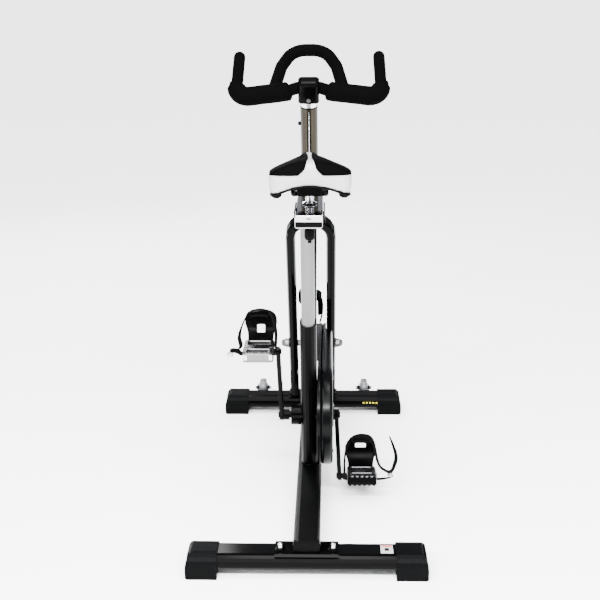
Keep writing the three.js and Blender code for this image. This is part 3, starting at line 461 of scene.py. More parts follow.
def belt(a, ra, b, rb, steps=40):
    """The taut outline round two circles."""
    span = math.dist(a, b)
    along = math.atan2(b[1] - a[1], b[0] - a[0])
    tilt = math.acos((ra - rb) / span)
    outline = []
    for i in range(steps + 1):
        angle = along + tilt + (2 * math.pi - 2 * tilt) * i / steps
        outline.append((a[0] + ra * math.cos(angle), a[1] + ra * math.sin(angle)))
    for i in range(steps + 1):
        angle = along - tilt + 2 * tilt * i / steps
        outline.append((b[0] + rb * math.cos(angle), b[1] + rb * math.sin(angle)))
    return outline


X, Y, Z = (1, 0, 0), (0, 1, 0), (0, 0, 1)

# ---------------------------------------------------------------- carried CAD nodes: finishes, soft edges
slots = {s["node"]: s["material_slot"] for s in frame["record"]["subparts"]}
ROUNDED = {
    "stabilizer": 0.0008, "foot_cap": 0.0025, "saddle_plate": 0.001, "beam": 0.0008, "crank_arm": 0.0022,
    "pedal_body": 0.0015, "slide_carriage": 0.001, "seat_slide": 0.0012, "slide_end_cap": 0.0015,
    "saddle_clamp": 0.002, "stem_clamp": 0.003, "post_neck": 0.002, "brake_caliper": 0.0015, "flywheel_axle": 0.0012,
    "seat_tube": 0.0008, "head_sleeve": 0.0012, "wheel_bracket": 0.001, "plate_bolt": 0.0006, "chainring": 0.0005,
    "bottom_bracket": 0.001, "handlebar_post": 0.0008, "seat_post": 0.0008,
}
SPECIAL = {
    "handlebar_post": POST_CHROME_PAINTED_REFLECTION, "post_neck": CHROME, "seat_slide": SLIDE_CHROME_PAINTED_REFLECTION, "slide_end_cap": POLISHED_PAINTED_REFLECTION,
    "pedal_body_right": PEDAL_ALLOY_PAINTED_SHADE, "pedal_spindle_left": PLASTIC, "pedal_spindle_right": PLASTIC,
    "bottom_beam": SATIN_PAINT, "seat_tube": SATIN_PAINT, "crank_spindle": PLASTIC, "flywheel_axle": STEEL,
}
for name, node in nodes.items():
    finish = SPECIAL.get(name, FINISHES[slots[name]])
    if not node.material_slots:
        node.data.materials.append(finish)
    for held in node.material_slots:
        held.link = "OBJECT"
        held.material = finish
    for part, width in ROUNDED.items():
        if name.startswith(part) or part in name:
            bevel(node, width, 2, 50)
            break

# ---------------------------------------------------------------- handlebar: tube, loop, foam grips
DROOP = [(28, 0, 0, 10), (56, 0, -9.5, 60), (180, 0, -24, 30)]
HORN_TIP = (175, 96, 80)


def bar_point(x, y, z, *radius):
    return (x / 1000, BAR_AT.y + y / 1000, BAR_AT.z + z / 1000, *[r / 1000 for r in radius])


half = [bar_point(*c) for c in DROOP] + [bar_point(*HORN_TIP)]
whole = [(-c[0], *c[1:]) for c in reversed(half)] + half
line = resampled(bent(whole, 10), 0.008)
link(tube("handlebar_tube", line, 0.0148, 32, (True, True)), FOAM, "handlebar", "foam_loop", "handlebar")

TILT = math.radians(48)


def loop_point(x, rise, *radius):
    return (x / 1000, BAR_AT.y + rise * math.sin(TILT) / 1000,
            BAR_AT.z + (rise * math.cos(TILT) - 12) / 1000, *[r / 1000 for r in radius])


half = [loop_point(40, 145, 52), loop_point(69, 88, 50), loop_point(88, 2)]
whole = [(-c[0], *c[1:]) for c in reversed(half)] + half
line = curved(resampled(bent(whole, 14), 0.03), 90)
link(tube("handlebar_foam_loop", line, 0.0155, 40), FOAM, "handlebar", "foam_loop", "handlebar_loop")

for name, sign in (("left", -1), ("right", 1)):
    ends = [bar_point(sign * x, y, z, *r) for x, y, z, *r in
            ((45, 0, -6.2), (56, 0, -9.5, 60), (180, 0, -24, 30), (179, 19, -3.5))]
    line = resampled(bent(ends, 10), 0.004)
    soft_end = lambda t: 0.0236 * min(1, 0.72 + 0.28 * math.sin(min(1, t / 0.05, (1 - t) / 0.05) * math.pi / 2))
    grip = tube(f"grip_foam_{name}", line, 0.0236, 36, radii=soft_end)
    for v in grip.vertices:
        v.co += 0.0004 * noise.noise_vector(v.co * 60)
    made = link(grip, FOAM, "handlebar", "foam", f"grip_{name}")

# A pinch collar round the bar, the clamp bolt under it and a stop button on the post's left.
collar = lathe("stem_collar", [(0.0152, -0.019), (0.021, -0.019), (0.0222, -0.0175), (0.0222, 0.0175),
                               (0.021, 0.019), (0.0152, 0.019), (0.0152, -0.019)], X, BAR_AT)
link(collar, PAINT, "handlebar", "paint")
rake_up = Vector((0, -math.sin(RAKE), math.cos(RAKE)))
rake_ahead = Vector((0, math.cos(RAKE), math.sin(RAKE)))
fork_foot = bike(0, FORK_FOOT * 1000, PLATE_TOP * 1000)
block = fork_foot + rake_up * (BAR_ALONG - 0.021)
socket = [(0, 0.0015), (0.0022, 0.0015), (0.0022, 0.004), (0.0045, 0.0045), (0.0052, 0.003), (0.0052, 0)]
link(lathe("stem_bolt", socket, -rake_ahead, block - rake_ahead * 0.0228), STEEL, "handlebar", "steel")
button = [(0.0052, 0), (0.0052, 0.004), (0.0038, 0.0065), (0, 0.0072)]
link(lathe("post_button", button, (-1, 0, 0), fork_foot + rake_up * 1.004 + Vector((-0.0215, 0, 0))),
     PLASTIC, "handlebar", "plastic")
# Thin black discs on the post's front stand in for its adjusting holes: painted shade inside the holes.
for k in range(9):
    at = fork_foot + rake_up * (0.875 + 0.02 * k)
    link(lathe(f"post_hole_shade_{k}", [(0, 0), (0.0035, 0), (0.004, 0.0004), (0, 0.0005)], rake_ahead,
               at + rake_ahead * 0.0168, 20), PLASTIC, "handlebar", "plastic")

# A thin chrome rod down the post's rear face: a painted highlight line on the post's chrome.
seam_and_highlight_line = [fork_foot + rake_up * along - rake_ahead * 0.0161 for along in (0.775, 0.9, BAR_ALONG - 0.06)]
link(tube("post_painted_highlight", seam_and_highlight_line, 0.0011, 12), CHROME, "handlebar", "chrome", smooth=0)

# The brake's shoe on the left and its spring arm on the right.
low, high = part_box("brake_caliper")
shoe = [(-0.0395, high.z - 0.030), (-0.0395, high.z - 0.008), (-0.036, high.z - 0.002), (-0.028, high.z),
        (-0.028, high.z - 0.040), (-0.036, high.z - 0.038)]
bevel(link(prism("brake_shoe", shoe, (X, Z, Y), low.y + 0.012, high.y - 0.020), PLASTIC, "brake",
           "plastic"), 0.0015)
arm = [Vector((x / 1000, low.y + 0.02, low.z + z / 1000))
       for x, z in ((28, 60), (31, 40), (30.5, 18), (27.5, 0), (23, -16))]
link(tube("brake_arm", curved(arm, 30), 0.0026, 12, (True, True)), PLASTIC, "brake", "plastic", smooth=0)

# ---------------------------------------------------------------- saddle
PIN_Y = 186
SADDLE = Vector((0.007, 0.186 - SHIFT, 0))  # over the pin
SADDLE_TURN = Matrix.Rotation(math.radians(1.8), 3, "Z")


def on_saddle(x, y, z):
    """A saddle point in millimetres, y ahead of the rear stabilizer, turned as the saddle is."""
    return SADDLE + SADDLE_TURN @ Vector((x / 1000, (y - PIN_Y) / 1000, z / 1000))


# Length, half width, top at the middle, top at the edge, skirt's lower edge and the underside's hollow.
SECTIONS = [
    (62, 60, 925, 916, 867, 12), (64, 74, 927, 911, 861.5, 15), (72, 84.5, 929, 905, 858.5, 18),
    (86, 89.5, 931.5, 902, 857, 20), (104, 90, 932, 901, 856.5, 22), (122, 85, 932, 902, 858, 22),
    (140, 74, 932, 904, 864, 22), (158, 60, 932, 906, 870, 18), (178, 46, 932, 907, 876, 14),
    (200, 36, 931.5, 907, 881, 11), (225, 30, 930.5, 906, 884, 9), (255, 26.5, 929, 904, 886, 8),
    (285, 24.5, 927, 902, 887, 7), (308, 22.5, 924, 899, 887, 7), (322, 18, 919, 896, 887, 5),
    (331, 11, 911, 893, 888, 3),
]


def section_at(y):
    for a, b in zip(SECTIONS, SECTIONS[1:]):
        if y <= b[0]:
            t = (y - a[0]) / (b[0] - a[0])
            t = max(0, min(1, t))
            return [p + (q - p) * t for p, q in zip(a, b)]
    return list(SECTIONS[-1])


ACROSS = 28
ring_of = []
for y, half_width, top, edge, low, hollow in SECTIONS:
    ring = []
    for k in range(ACROSS + 1):  # over the top, from the left skirt's foot to the right's
        t = -1 + 2 * k / ACROSS
        s = abs(t)
        if s > 0.86:  # the skirt
            f = (s - 0.86) / 0.14
            x = half_width * (1.0 - 0.035 * f * f)
            z = edge - 3 - (edge - 3 - low) * f
        elif s > 0.74:  # the rounded shoulder
            f = (s - 0.74) / 0.12
            x = half_width * (0.93 + 0.07 * math.sin(f * math.pi / 2))
            z = edge + 4 - 7 * (1 - math.cos(f * math.pi / 2))
        else:
            f = s / 0.74
            x = half_width * 0.93 * f
            crown = 1 - f ** (1.1 if y < 120 else 0.82)
            z = edge + 4 + (top - edge - 4) * crown
            z -= 7.5 * math.exp(-((x / 8.5) ** 2)) * min(1, max(0, (y - 66) / 60))  # the channel
            z += 2.5 * math.exp(-(((f - 0.5) / 0.28) ** 2)) * (1 if y < 200 else 0.4)  # padding beside it
        ring.append(on_saddle(math.copysign(x, t), y, z))
    ring_of.append(ring)

verts = [p for ring in ring_of for p in ring]
faces = sheet_faces(len(ring_of), ACROSS)
width = ACROSS + 1


def belly(y, half_width, low, hollow):
    """The underside, hollowed upwards between the two skirts."""
    row = []
    for k in range(1, ACROSS):
        t = -1 + 2 * k / ACROSS
        row.append(on_saddle(half_width * 0.965 * t, y, low + (1 - t * t) * hollow))
    return row


under = []
for y, half_width, top, edge, low, hollow in SECTIONS:
    under.append(list(range(len(verts), len(verts) + ACROSS - 1)))
    verts += belly(y, half_width, low, hollow)
for r in range(len(ring_of) - 1):
    a = [r * width, *under[r], r * width + ACROSS]
    b = [(r + 1) * width, *under[r + 1], (r + 1) * width + ACROSS]
    for k in range(ACROSS):
        faces.append((a[k], b[k], b[k + 1], a[k + 1]))
for r in (0, len(ring_of) - 1):  # rear and nose faces
    top_row = [r * width + k for k in range(width)]
    low_row = [r * width, *under[r], r * width + ACROSS]
    for k in range(ACROSS):
        quad = [top_row[k], top_row[k + 1], low_row[k + 1], low_row[k]]
        quad = [q for i, q in enumerate(quad) if q not in quad[:i]]
        faces.append(tuple(reversed(quad)) if r == 0 else tuple(quad))
pad = placed("saddle_pad", outward(mesh_of("saddle_pad", verts, faces)))
remesh = pad.modifiers.new("remesh", "REMESH")
remesh.mode = "VOXEL"
remesh.voxel_size = 0.004
baked(pad)
rest = [v.co.copy() for v in pad.data.vertices]
cloth = pad.modifiers.new("cloth", "CLOTH")
cloth.settings.use_pressure = True
cloth.settings.uniform_pressure_force = 3
cloth.settings.effector_weights.gravity = 0
cloth.point_cache.frame_start = 1
cloth.point_cache.frame_end = CLOTH_FRAMES
for number in range(1, CLOTH_FRAMES + 1):
    bpy.context.scene.frame_set(number)
baked(pad)
bpy.context.scene.frame_set(1)
for v, start in zip(pad.data.vertices, rest):
    moved = v.co - start
    v.co = start + moved * min(1, CLOTH_CAP / max(moved.length, 1e-9))
smoothed = pad.modifiers.new("round", "SUBSURF")
smoothed.levels = smoothed.render_levels = 1
baked(pad)
pad.data.materials.clear()
pad.data.materials.append(SILVER_VINYL)
pad.data.shade_smooth()
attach(pad, "saddle")
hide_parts("saddle_cushion")

surface = BVHTree.FromPolygons([v.co for v in pad.data.vertices], [p.vertices for p in pad.data.polygons])


def on_top(x, y, lift):
    """The point on the pad's top above (x, y), lifted off it."""
    start = on_saddle(x, y, 990)
    place, normal, _, _ = surface.ray_cast(start, Vector((0, 0, -1)))
    if place is None:
        place, normal, _, _ = surface.find_nearest(on_saddle(x, y, 910))
    return place + normal * lift


def channel_edge(y):
    """The silver channel's half width: narrow, then a little wider on the nose."""
    return 4.6 + 3.5 * max(0, 1 - (y - 76) / 40) ** 2 * (y < 116) + 4.0 * max(0, (y - 180) / 150)


def against(x, y, z, lift):
    """The nearest point of the pad to a saddle point, lifted off it."""
    place, normal, _, _ = surface.find_nearest(on_saddle(x, y, z))
    return place + normal * lift


# Rear rows: how far in from the pad's middle each starts, and where its points lie behind and over the rear edge.
REAR = [(27, 58, 0), (18, 58, 0.45), (12.5, 59, 0.85), (10, 63, 1.3), (8.6, 69, 1.5)]
PANEL = [78, 88, 98, 110, 124, 140, 158, 178, 200, 225, 250, 275, 298, 314, 321]
for name, sign in (("left", -1), ("right", 1)):
    rows, steps = [], 16
    for inner, y, rise in REAR:
        row = []
        for k in range(steps + 1):
            x = inner + (95 - inner) * k / steps
            height = 902 + rise * (17 - 11 * (x / 95) ** 2)
            row.append(against(sign * x, y + 17 * (x / 95) ** 4, height, PANEL_LIFT))
        rows.append(row)
    for y in PANEL:
        inner = channel_edge(y) + (1.5 if y > 305 else 0)
        outer = section_at(y)[1] * 0.955 - (3 if y > 305 else 0)
        rows.append([on_top(sign * (inner + (outer - inner) * k / steps), y, PANEL_LIFT) for k in range(steps + 1)])
    verts = [p for row in rows for p in row]
    faces = [face if sign > 0 else tuple(reversed(face)) for face in sheet_faces(len(rows), steps)]
    panel = mesh_of(f"saddle_panel_{name}", verts, faces)
    thickened(link(panel, BLACK_VINYL, "saddle", "vinyl", smooth=0), 0.0024, 2)
    border = [row[0] for row in rows] + rows[-1][1:] + [row[-1] for row in reversed(rows)][1:] + rows[0][-2:0:-1]
    piping = tube(f"saddle_piping_{name}", resampled(border + [border[0]], 0.004), 0.0009, 8)
    link(piping, BLACK_VINYL, "saddle", "vinyl", smooth=0)

# The black shell under the pad, its lip, and the two rear bumpers.
rows = []
for y, half_width, top, edge, low, hollow in SECTIONS[:-1]:
    row = []
    for k in range(ACROSS + 1):
        t = -1 + 2 * k / ACROSS
        row.append(on_saddle(half_width * 0.955 * t, y + (3 if y < 70 else 0), low + (1 - t * t) * hollow - 1.6))
    rows.append(row)
verts = [p for row in rows for p in row]
shell = mesh_of("saddle_shell", verts, sheet_faces(len(rows), ACROSS))
thickened(link(shell, PLASTIC, "saddle", "plastic", "saddle_base", smooth=0), 0.0035)
lip = [row[0] for row in reversed(rows)] + rows[0][1:-1] + [row[-1] for row in rows]
link(tube("saddle_lip", resampled(lip, 0.006), 0.0021, 10), PLASTIC, "saddle", "plastic", smooth=0)
for name, sign in (("left", -1), ("right", 1)):
    bump = lathe(f"saddle_bumper_{name}", [(0, -0.0075), (0.006, -0.007), (0.0105, -0.004), (0.012, 0),
                                           (0.012, 0.005), (0, 0.0055)], Z, on_saddle(sign * 73, 84, 857), 28)
    for v in bump.vertices:
        v.co.y = on_saddle(0, 84, 0).y + (v.co.y - on_saddle(0, 84, 0).y) * 1.3
    link(bump, RUBBER, "saddle", "rubber")
    rail = [on_saddle(sign * 36, 78, 873), on_saddle(sign * 34, 92, 868), on_saddle(sign * 22, 144, 862),
            on_saddle(sign * 22, 228, 862), on_saddle(sign * 12, 285, 870), on_saddle(sign * 9, 306, 879)]
    link(tube(f"saddle_rail_rod_{name}", curved(rail, 40), 0.0035, 16), PAINT, "saddle", "paint",
         f"saddle_rail_{name}")
    head = [(0, 0.0065), (0.0045, 0.006), (0.0078, 0.0035), (0.0088, 0), (0.0088, -0.002), (0, -0.002)]
    link(lathe(f"clamp_bolt_{name}", head, SADDLE_TURN @ Vector((sign, 0, 0)),
               on_saddle(sign * 36.5, PIN_Y, 843), 24), PAINT, "saddle", "paint")
    outline = [(-13, 866), (13, 866), (11, 842), (6, 835), (-6, 835), (-11, 842)]
    cheek = prism(f"clamp_cheek_{name}", outline, (Y, Z, X), 27, 35.5)
    for v in cheek.vertices:
        v.co = on_saddle(sign * v.co.x, PIN_Y + v.co.y, v.co.z)
    if sign < 0:
        cheek.flip_normals()
    bevel(link(cheek, PAINT, "saddle", "paint"), 0.002)

# Turned rings on the chrome post under the saddle, and the washer that the clamp sits on.
pin_foot = SADDLE + Vector((0, 0, 0.8173))
rings = [(0, 0), (0.016, 0), (0.0168, 0.0012), (0.0168, 0.0034), (0.0118, 0.005), (0.0098, 0.007)]
for k in range(5):
    z = 0.0085 + 0.0042 * k
    rings += [(0.0098, z), (0.0088, z + 0.0008), (0.0088, z + 0.0022), (0.0098, z + 0.003)]
rings += [(0.0098, 0.0315), (0.0165, 0.0322), (0.0168, 0.0338), (0.0165, 0.0352), (0.0095, 0.036), (0.0092, 0.052),
          (0.007, 0.0548), (0, 0.055)]
link(lathe("saddle_stud", rings, Z, pin_foot, 40), CHROME, "seat_slide", "chrome", "saddle_pin")

# ---------------------------------------------------------------- seat slide: painted reflection and highlight bands on its chrome, its label and its knob
low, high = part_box("slide_end_cap")


def slab(name, a, b, finish, body, slot, edge=0.0006):
    """A small block between two corners, with softened edges."""
    outline = [(a[0], a[1]), (b[0], a[1]), (b[0], b[1]), (a[0], b[1])]
    return link(softened(prism(name, outline, (X, Y, Z), a[2], b[2]), edge), finish, body, slot)


face_y = low.y
# Over the chrome end face: a black band across its lower part is a painted reflection, and a chrome line along its
# foot is a painted highlight.
slab("slide_end_painted_reflection", (low.x + 0.001, face_y - 0.0012, low.z + 0.0028),
     (high.x - 0.001, face_y + 0.0005, low.z + 0.0142), PLASTIC, "seat_slide", "plastic")
slab("slide_end_painted_highlight", (low.x + 0.004, face_y - 0.0014, low.z + 0.0006),
     (high.x - 0.004, face_y + 0.0005, low.z + 0.0021), CHROME, "seat_slide", "chrome", 0.0004)
slab("slide_end_mark", ((low.x + high.x) / 2 - 0.005, face_y - 0.0007, high.z - 0.0085),
     ((low.x + high.x) / 2 + 0.005, face_y + 0.0003, high.z - 0.0055), PLASTIC, "seat_slide", "plastic", 0.0003)
slide_low, slide_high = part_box("seat_slide")
# Chrome strips along the slide's top edges: painted highlights on the darkened chrome.
for name, x in (("left", slide_low.x + 0.0004), ("right", slide_high.x - 0.0034)):
    slab(f"slide_painted_highlight_{name}", (x, slide_low.y + 0.002, slide_high.z - 0.0006),
         (x + 0.003, slide_high.y - 0.002, slide_high.z + 0.0008), CHROME, "seat_slide", "chrome", 0.0003)

KNOB = [(0, -0.05), (0.004, -0.05), (0.0046, -0.0475), (0.0046, -0.044), (0.009, -0.0425), (0.0118, -0.038),
        (0.0124, -0.034), (0.0124, -0.022), (0.0112, -0.0178), (0.006, -0.016), (0.0042, -0.0155), (0.004, 0),
        (0.004, 0.004), (0, 0.004)]
low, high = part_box("slide_knob")
knob_at = Vector(((low.x + high.x) / 2, (low.y + high.y) / 2, high.z - 0.004))
knob = lathe("slide_grip", KNOB, Z, knob_at, 60)
for v in knob.vertices:
    reach = (v.co - knob_at).xy.length
    if reach > 0.0085:
        angle = math.atan2(v.co.y - knob_at.y, v.co.x - knob_at.x)
        shrink = 1 - 0.06 * (0.5 + 0.5 * math.cos(6 * angle)) ** 2
        v.co.x = knob_at.x + (v.co.x - knob_at.x) * shrink
        v.co.y = knob_at.y + (v.co.y - knob_at.y) * shrink
link(knob, PLASTIC, "slide_knob", "plastic", "slide_knob")

# ---------------------------------------------------------------- pedals: cages, straps, rails
STRAP_UNDER = -14.2
STRAPS = {
    "right": [(40, -10), (4, STRAP_UNDER), (-79, STRAP_UNDER), (-82, 2), (-80, 46), (-66, 82),
              (-38, 92), (-10, 82), (5, 30), (16, 12), (38, 4), (50, 24), (53, 44), (46, 68),
              (37, 90)],
    "left": [(37, -8), (26, -7), (14, -10), (2, STRAP_UNDER), (-77, STRAP_UNDER),
             (-79.4, 2), (-79, 46), (-66, 82), (-38, 92), (-10, 82), (8, 48), (13, 24),
             (9, 6), (15, -3), (32, -3)],
}
CAGE_LINE = [(45.3, -4), (72, -2), (98, 12), (108, 36), (102, 62), (82, 78), (58, 82), (36, 78)]
CAGE_WIDTH = [(-12, 30), (4, 31), (14, 33), (34, 40), (50, 39), (62, 34), (76, 22), (90, 20)]
CAGE_HOLES = {"left": (19, 18, 19), "right": (28, 14, 50)}


def cage_half_width(z):
    for (z0, w0), (z1, w1) in zip(CAGE_WIDTH, CAGE_WIDTH[1:]):
        if z <= z1:
            return w0 + (w1 - w0) * max(0, (z - z0) / (z1 - z0))
    return CAGE_WIDTH[-1][1]


def pedal_place(side):
    middle, way, tilt = PEDALS[side]
    centre = CRANK + Vector((middle, 0, way * CRANK_LENGTH))
    swing = Matrix.Rotation(math.radians(tilt), 3, "X")
    sign = 1 if side == "right" else -1
    return lambda x, y, z: centre + swing @ Vector((sign * x / 1000, y / 1000, z / 1000))


def ribbon(name, line, ahead, width, thickness):
    """A flat strap whose width runs ahead, with a slow twist along its length."""
    rings = []
    for i, p in enumerate(line):
        along = (line[min(i + 1, len(line) - 1)] - line[max(i - 1, 0)]).normalized()
        out = along.cross(ahead).normalized()
        twist = Matrix.Rotation(0.4 + 0.25 * math.sin(i / len(line) * 17), 3, along)
        out = twist @ out
        across = twist @ ahead
        rings.append([p + across * width / 2 * a + out * thickness / 2 * b
                      for a, b in ((-1, -1), (0, -1.1), (1, -1), (1, 1), (0, 1.1), (-1, 1))])
    verts = [v for ring in rings for v in ring]
    return outward(mesh_of(name, verts, hose_faces(len(rings), 6)))


def boxed(name, low, high, place, edge=1.0):
    """A small block with softened edges, in a pedal's own millimetres."""
    outline = [(low[0], low[1]), (high[0], low[1]), (high[0], high[1]), (low[0], high[1])]
    made = softened(prism(name, outline, (X, Y, Z), low[2], high[2]), edge)
    for v in made.vertices:
        v.co = place(*v.co)
    return outward(made)


for side in PEDALS:
    place = pedal_place(side)
    body = f"pedal_{side}"
    ahead = (place(0, 1, 0) - place(0, 0, 0)).normalized()
    # the cage: a bent sheet with a window
    route = curved([Vector((0, y, z)) for y, z in CAGE_LINE], 44)
    hole_width, hole_height, hole_z = CAGE_HOLES[side]
    levels = [-1, -0.86, -0.6, -0.35, -0.12, 0.12, 0.35, 0.6, 0.86, 1]
    verts, faces = [], []
    for p in route:
        w = cage_half_width(p.z)
        inside = abs(p.z - hole_z) < hole_height / 2 + 4 and p.y > 80
        rim = hole_width / 2 / w
        for u in levels:
            x = u * w
            if inside and abs(u) < 0.5:
                x = math.copysign(rim * w * (1 if abs(u) > 0.2 else 0.35), u)
            bulge = 3.5 * (1 - u * u)
            verts.append((x, p.y + (bulge if p.y > 80 else 0), p.z + (bulge if p.z > 70 else 0)))
    n = len(levels)
    for r in range(len(route) - 1):
        mid = (route[r] + route[r + 1]) / 2
        for k in range(n - 1):
            in_window = abs(mid.z - hole_z) < hole_height / 2 and mid.y > 80 and 3 <= k <= 5
            if not in_window:
                faces.append((r * n + k, r * n + k + 1, (r + 1) * n + k + 1, (r + 1) * n + k))
    sheet = mesh_of(f"toe_cage_shell_{side}", [place(*v) for v in verts], faces)
    thickened(link(sheet, PLASTIC, body, "plastic", f"toe_cage_{side}", smooth=0), 0.0032, 2)
    for u in (-1, 1):
        edge_line = [place(u * (cage_half_width(p.z) - 0.5), p.y, p.z) for p in route]
        rib = tube(f"toe_cage_rim_{side}_{'a' if u < 0 else 'b'}", edge_line, 0.0026, 10)
        link(rib, PLASTIC, body, "plastic", smooth=0)
    foot = boxed(f"toe_cage_foot_{side}", (-37, 40, -9), (37, 52, 9), place, 2.5)
    link(foot, PLASTIC, body, "plastic")

    # the strap, leaning forward as it rises, and its buckle
    half = 38
    flat = [Vector((x + half, 22 + 0.34 * z, z)) for x, z in STRAPS[side]]
    fine = [place(*p) for p in curved(flat, 110)]
    strap = ribbon(f"strap_web_{side}", fine, ahead, 0.0125, 0.0028)
    link(strap, WEBBING, body, "webbing", f"pedal_strap_{side}", smooth=0)
    at = place(half + 38, 22, -6) if side == "right" else place(half + 37, 18, -17)
    for k, (w, h, turned) in enumerate(((17, 13, 0.2), (15, 9, -0.5))):
        spin = Matrix.Rotation(turned, 3, "Y")
        sign = 1 if side == "right" else -1
        ring = []
        for a, b in ((-1, -1), (1, -1), (1, 1), (-1, 1)):
            local = spin @ Vector((a * h / 2000 * sign, b * w / 2000, 0))
            ring.append(at + local + Vector((0, 0, 0.004 * k)))
        loop = [ring[0].lerp(ring[1], 0.5), ring[1], ring[2], ring[3], ring[0], ring[0].lerp(ring[1], 0.499)]
        wire = tube(f"strap_buckle_{side}_{k}", resampled(loop, 0.003), 0.0014, 10)
        link(wire, CHROME, body, "chrome", smooth=0)
    sign = 1 if side == "right" else -1
    plate = boxed(f"strap_plate_{side}", (-7, -7, -0.8), (7, 7, 0.8),
                  lambda x, y, z: at + Matrix.Rotation(sign * 0.5, 3, "Y") @ Vector((x, y, z)) / 1000, 0.5)
    link(plate, CHROME, body, "chrome")

    # the body's barrel, its two rails and the teeth of the grip bars, black on the right pedal as painted shade
    sleeve = [(0.0078, -36), (0.0128, -36), (0.0136, -30), (0.0118, -18), (0.0112, 0), (0.0118, 18), (0.0132, 30),
              (0.0122, 36), (0.0078, 36), (0.0078, -36)]
    sleeve = [(r, h / 1000) for r, h in sleeve]
    barrel = lathe(f"pedal_barrel_{side}", sleeve, (sign, 0, 0), place(0, 0, 0), 36)
    link(barrel, ALLOY if side == "left" else PEDAL_ALLOY_PAINTED_SHADE, body, "alloy")
    cap = [(0, 0.0405), (0.006, 0.04), (0.0098, 0.038), (0.0105, 0.036), (0.0105, 0.03), (0, 0.03)]
    link(lathe(f"pedal_dust_cap_{side}", cap, (sign, 0, 0), place(0, 0, 0), 28), PLASTIC, body, "plastic")
    for y, label in ((-44, "rear"), (43, "front")):
        open_face = side == "left" and label == "rear"
        bar = boxed(f"pedal_bar_{side}_{label}", (-37, y - 2, -10.5), (37, y + 2, -6.2 if open_face else 9), place,
                    1.2)
        # The right pedal's bars are black plastic where the left's are alloy: painted shade.
        finish, look = (ALLOY, "alloy") if side == "left" else (PLASTIC, "plastic")
        link(bar, finish, body, look)
        if open_face:  # chrome cheeks either side of a black slab, painted shade in the bar's open slot
            for end in (-1, 1):
                cheek = boxed(f"pedal_cheek_{'in' if end < 0 else 'out'}", (end * 31.5 - 4.5, y - 1.6, -6),
                              (end * 31.5 + 4.5, y + 2, 9), place, 1.0)
                link(cheek, CHROME, body, "chrome")
            slot_shade = boxed("pedal_slot_shade", (-24, y - 0.9, -5.5), (24, y + 1.5, 5.5), place, 0.6)
            link(slot_shade, PLASTIC, body, "plastic")
            continue
        for k in range(6):
            x = -31 + 12.4 * k
            for edge, label_z in ((-1, "low"), (1, "top")):
                z = -10.5 if edge < 0 else 9
                tooth = boxed(f"pedal_tooth_{side}_{label}_{label_z}_{k}", (x - 3, y - 2, min(z, z + 3 * edge)),
                              (x + 3, y + 2, max(z, z + 3 * edge)), place, 1.0)
                link(tooth, finish, body, look)
        for x in (-26, 26):
            reflector = boxed(f"pedal_plate_{side}_{label}_{'in' if x < 0 else 'out'}",
                              (x - 6, min(y, y + 3.4), -6), (x + 6, max(y, y + 3.4), 5), place, 0.8)
            link(reflector, ALLOY if side == "left" else PEDAL_ALLOY_PAINTED_SHADE, body, "alloy")

# ---------------------------------------------------------------- chain cover, flywheel, wheels
fly = (AXLE.y, AXLE.z)
hub = (CRANK.y, CRANK.z)
leg_face = 0.0415


def cover_half(name, low, high, edge, cutters, replaced):
    solid = prism(name, belt(hub, 0.125, fly, 0.060, 72), (Y, Z, X), low, high)
    made = link(solid, COVER, "frame", "cover", replaced)
    bevel(made, edge, 6, 60)
    baked(made)
    for k, cutter in enumerate(cutters):
        tool = placed(f"{name}_tool_{k}", cutter)
        cut = made.modifiers.new("cut", "BOOLEAN")
        cut.operation = "DIFFERENCE"
        cut.solver = "EXACT"
        cut.object = tool
        baked(made)
        bpy.data.objects.remove(tool)
    made.data.shade_smooth()
    made.data.set_sharp_from_angle(angle=math.radians(32))
    return made


ahead_of_leg = prism("leg_room", [(-0.028, -0.5), (0.5, -0.5), (0.5, 1.0), (-0.028, 1.0)], (Y, Z, X), leg_face, 0.3)
for v in ahead_of_leg.vertices:
    v.co = Matrix.Rotation(RAKE, 3, "X") @ v.co + Vector((0, FORK_FOOT - SHIFT, PLATE_TOP))
spindle_room = lathe("spindle_room", [(0, 0), (0.0175, 0), (0.0175, 0.1), (0, 0.1)], X, CRANK, 48)
axle_room = lathe("axle_room", [(0, 0), (0.024, 0), (0.024, 0.1), (0, 0.1)], X, AXLE, 48)
cover_half("drive_cover_outer", 0.0293, 0.060, 0.009, [ahead_of_leg, spindle_room], "chain_cover_outer")
inner_room = prism("inner_room", belt(hub, 0.122, fly, 0.057, 72), (Y, Z, X), 0.024, 0.0295)
cover_half("drive_cover_inner", 0.021, 0.029, 0.0012, [inner_room, spindle_room.copy(), axle_room],
           "chain_cover_inner")
lip_low, lip_high = (-0.085, 0.3559), (0.360, 0.3198)
lip = [lip_low, lip_high, (lip_high[0], lip_high[1] - 0.0022), (lip_low[0], lip_low[1] - 0.0022)]
bevel(link(prism("drive_cover_lip", lip, (Y, Z, X), 0.0134, 0.0214), COVER, "frame", "cover"), 0.0006)
seam_and_highlight_line = [Vector((0.0291, y, z)) for y, z in belt(hub, 0.1244, fly, 0.0594, 72)]
link(tube("drive_cover_seam", seam_and_highlight_line + [seam_and_highlight_line[0]], 0.0007, 8), PLASTIC, "frame", "cover", smooth=0)
ring_cap = [(0.0178, 0.0592), (0.03, 0.0592), (0.0305, 0.0612), (0.0288, 0.0624), (0.019, 0.0624), (0.0178, 0.0612),
            (0.0178, 0.0592)]
link(lathe("drive_cover_collar", ring_cap, X, Vector((0, CRANK.y, CRANK.z)), 56), PLASTIC,
     "frame", "cover")
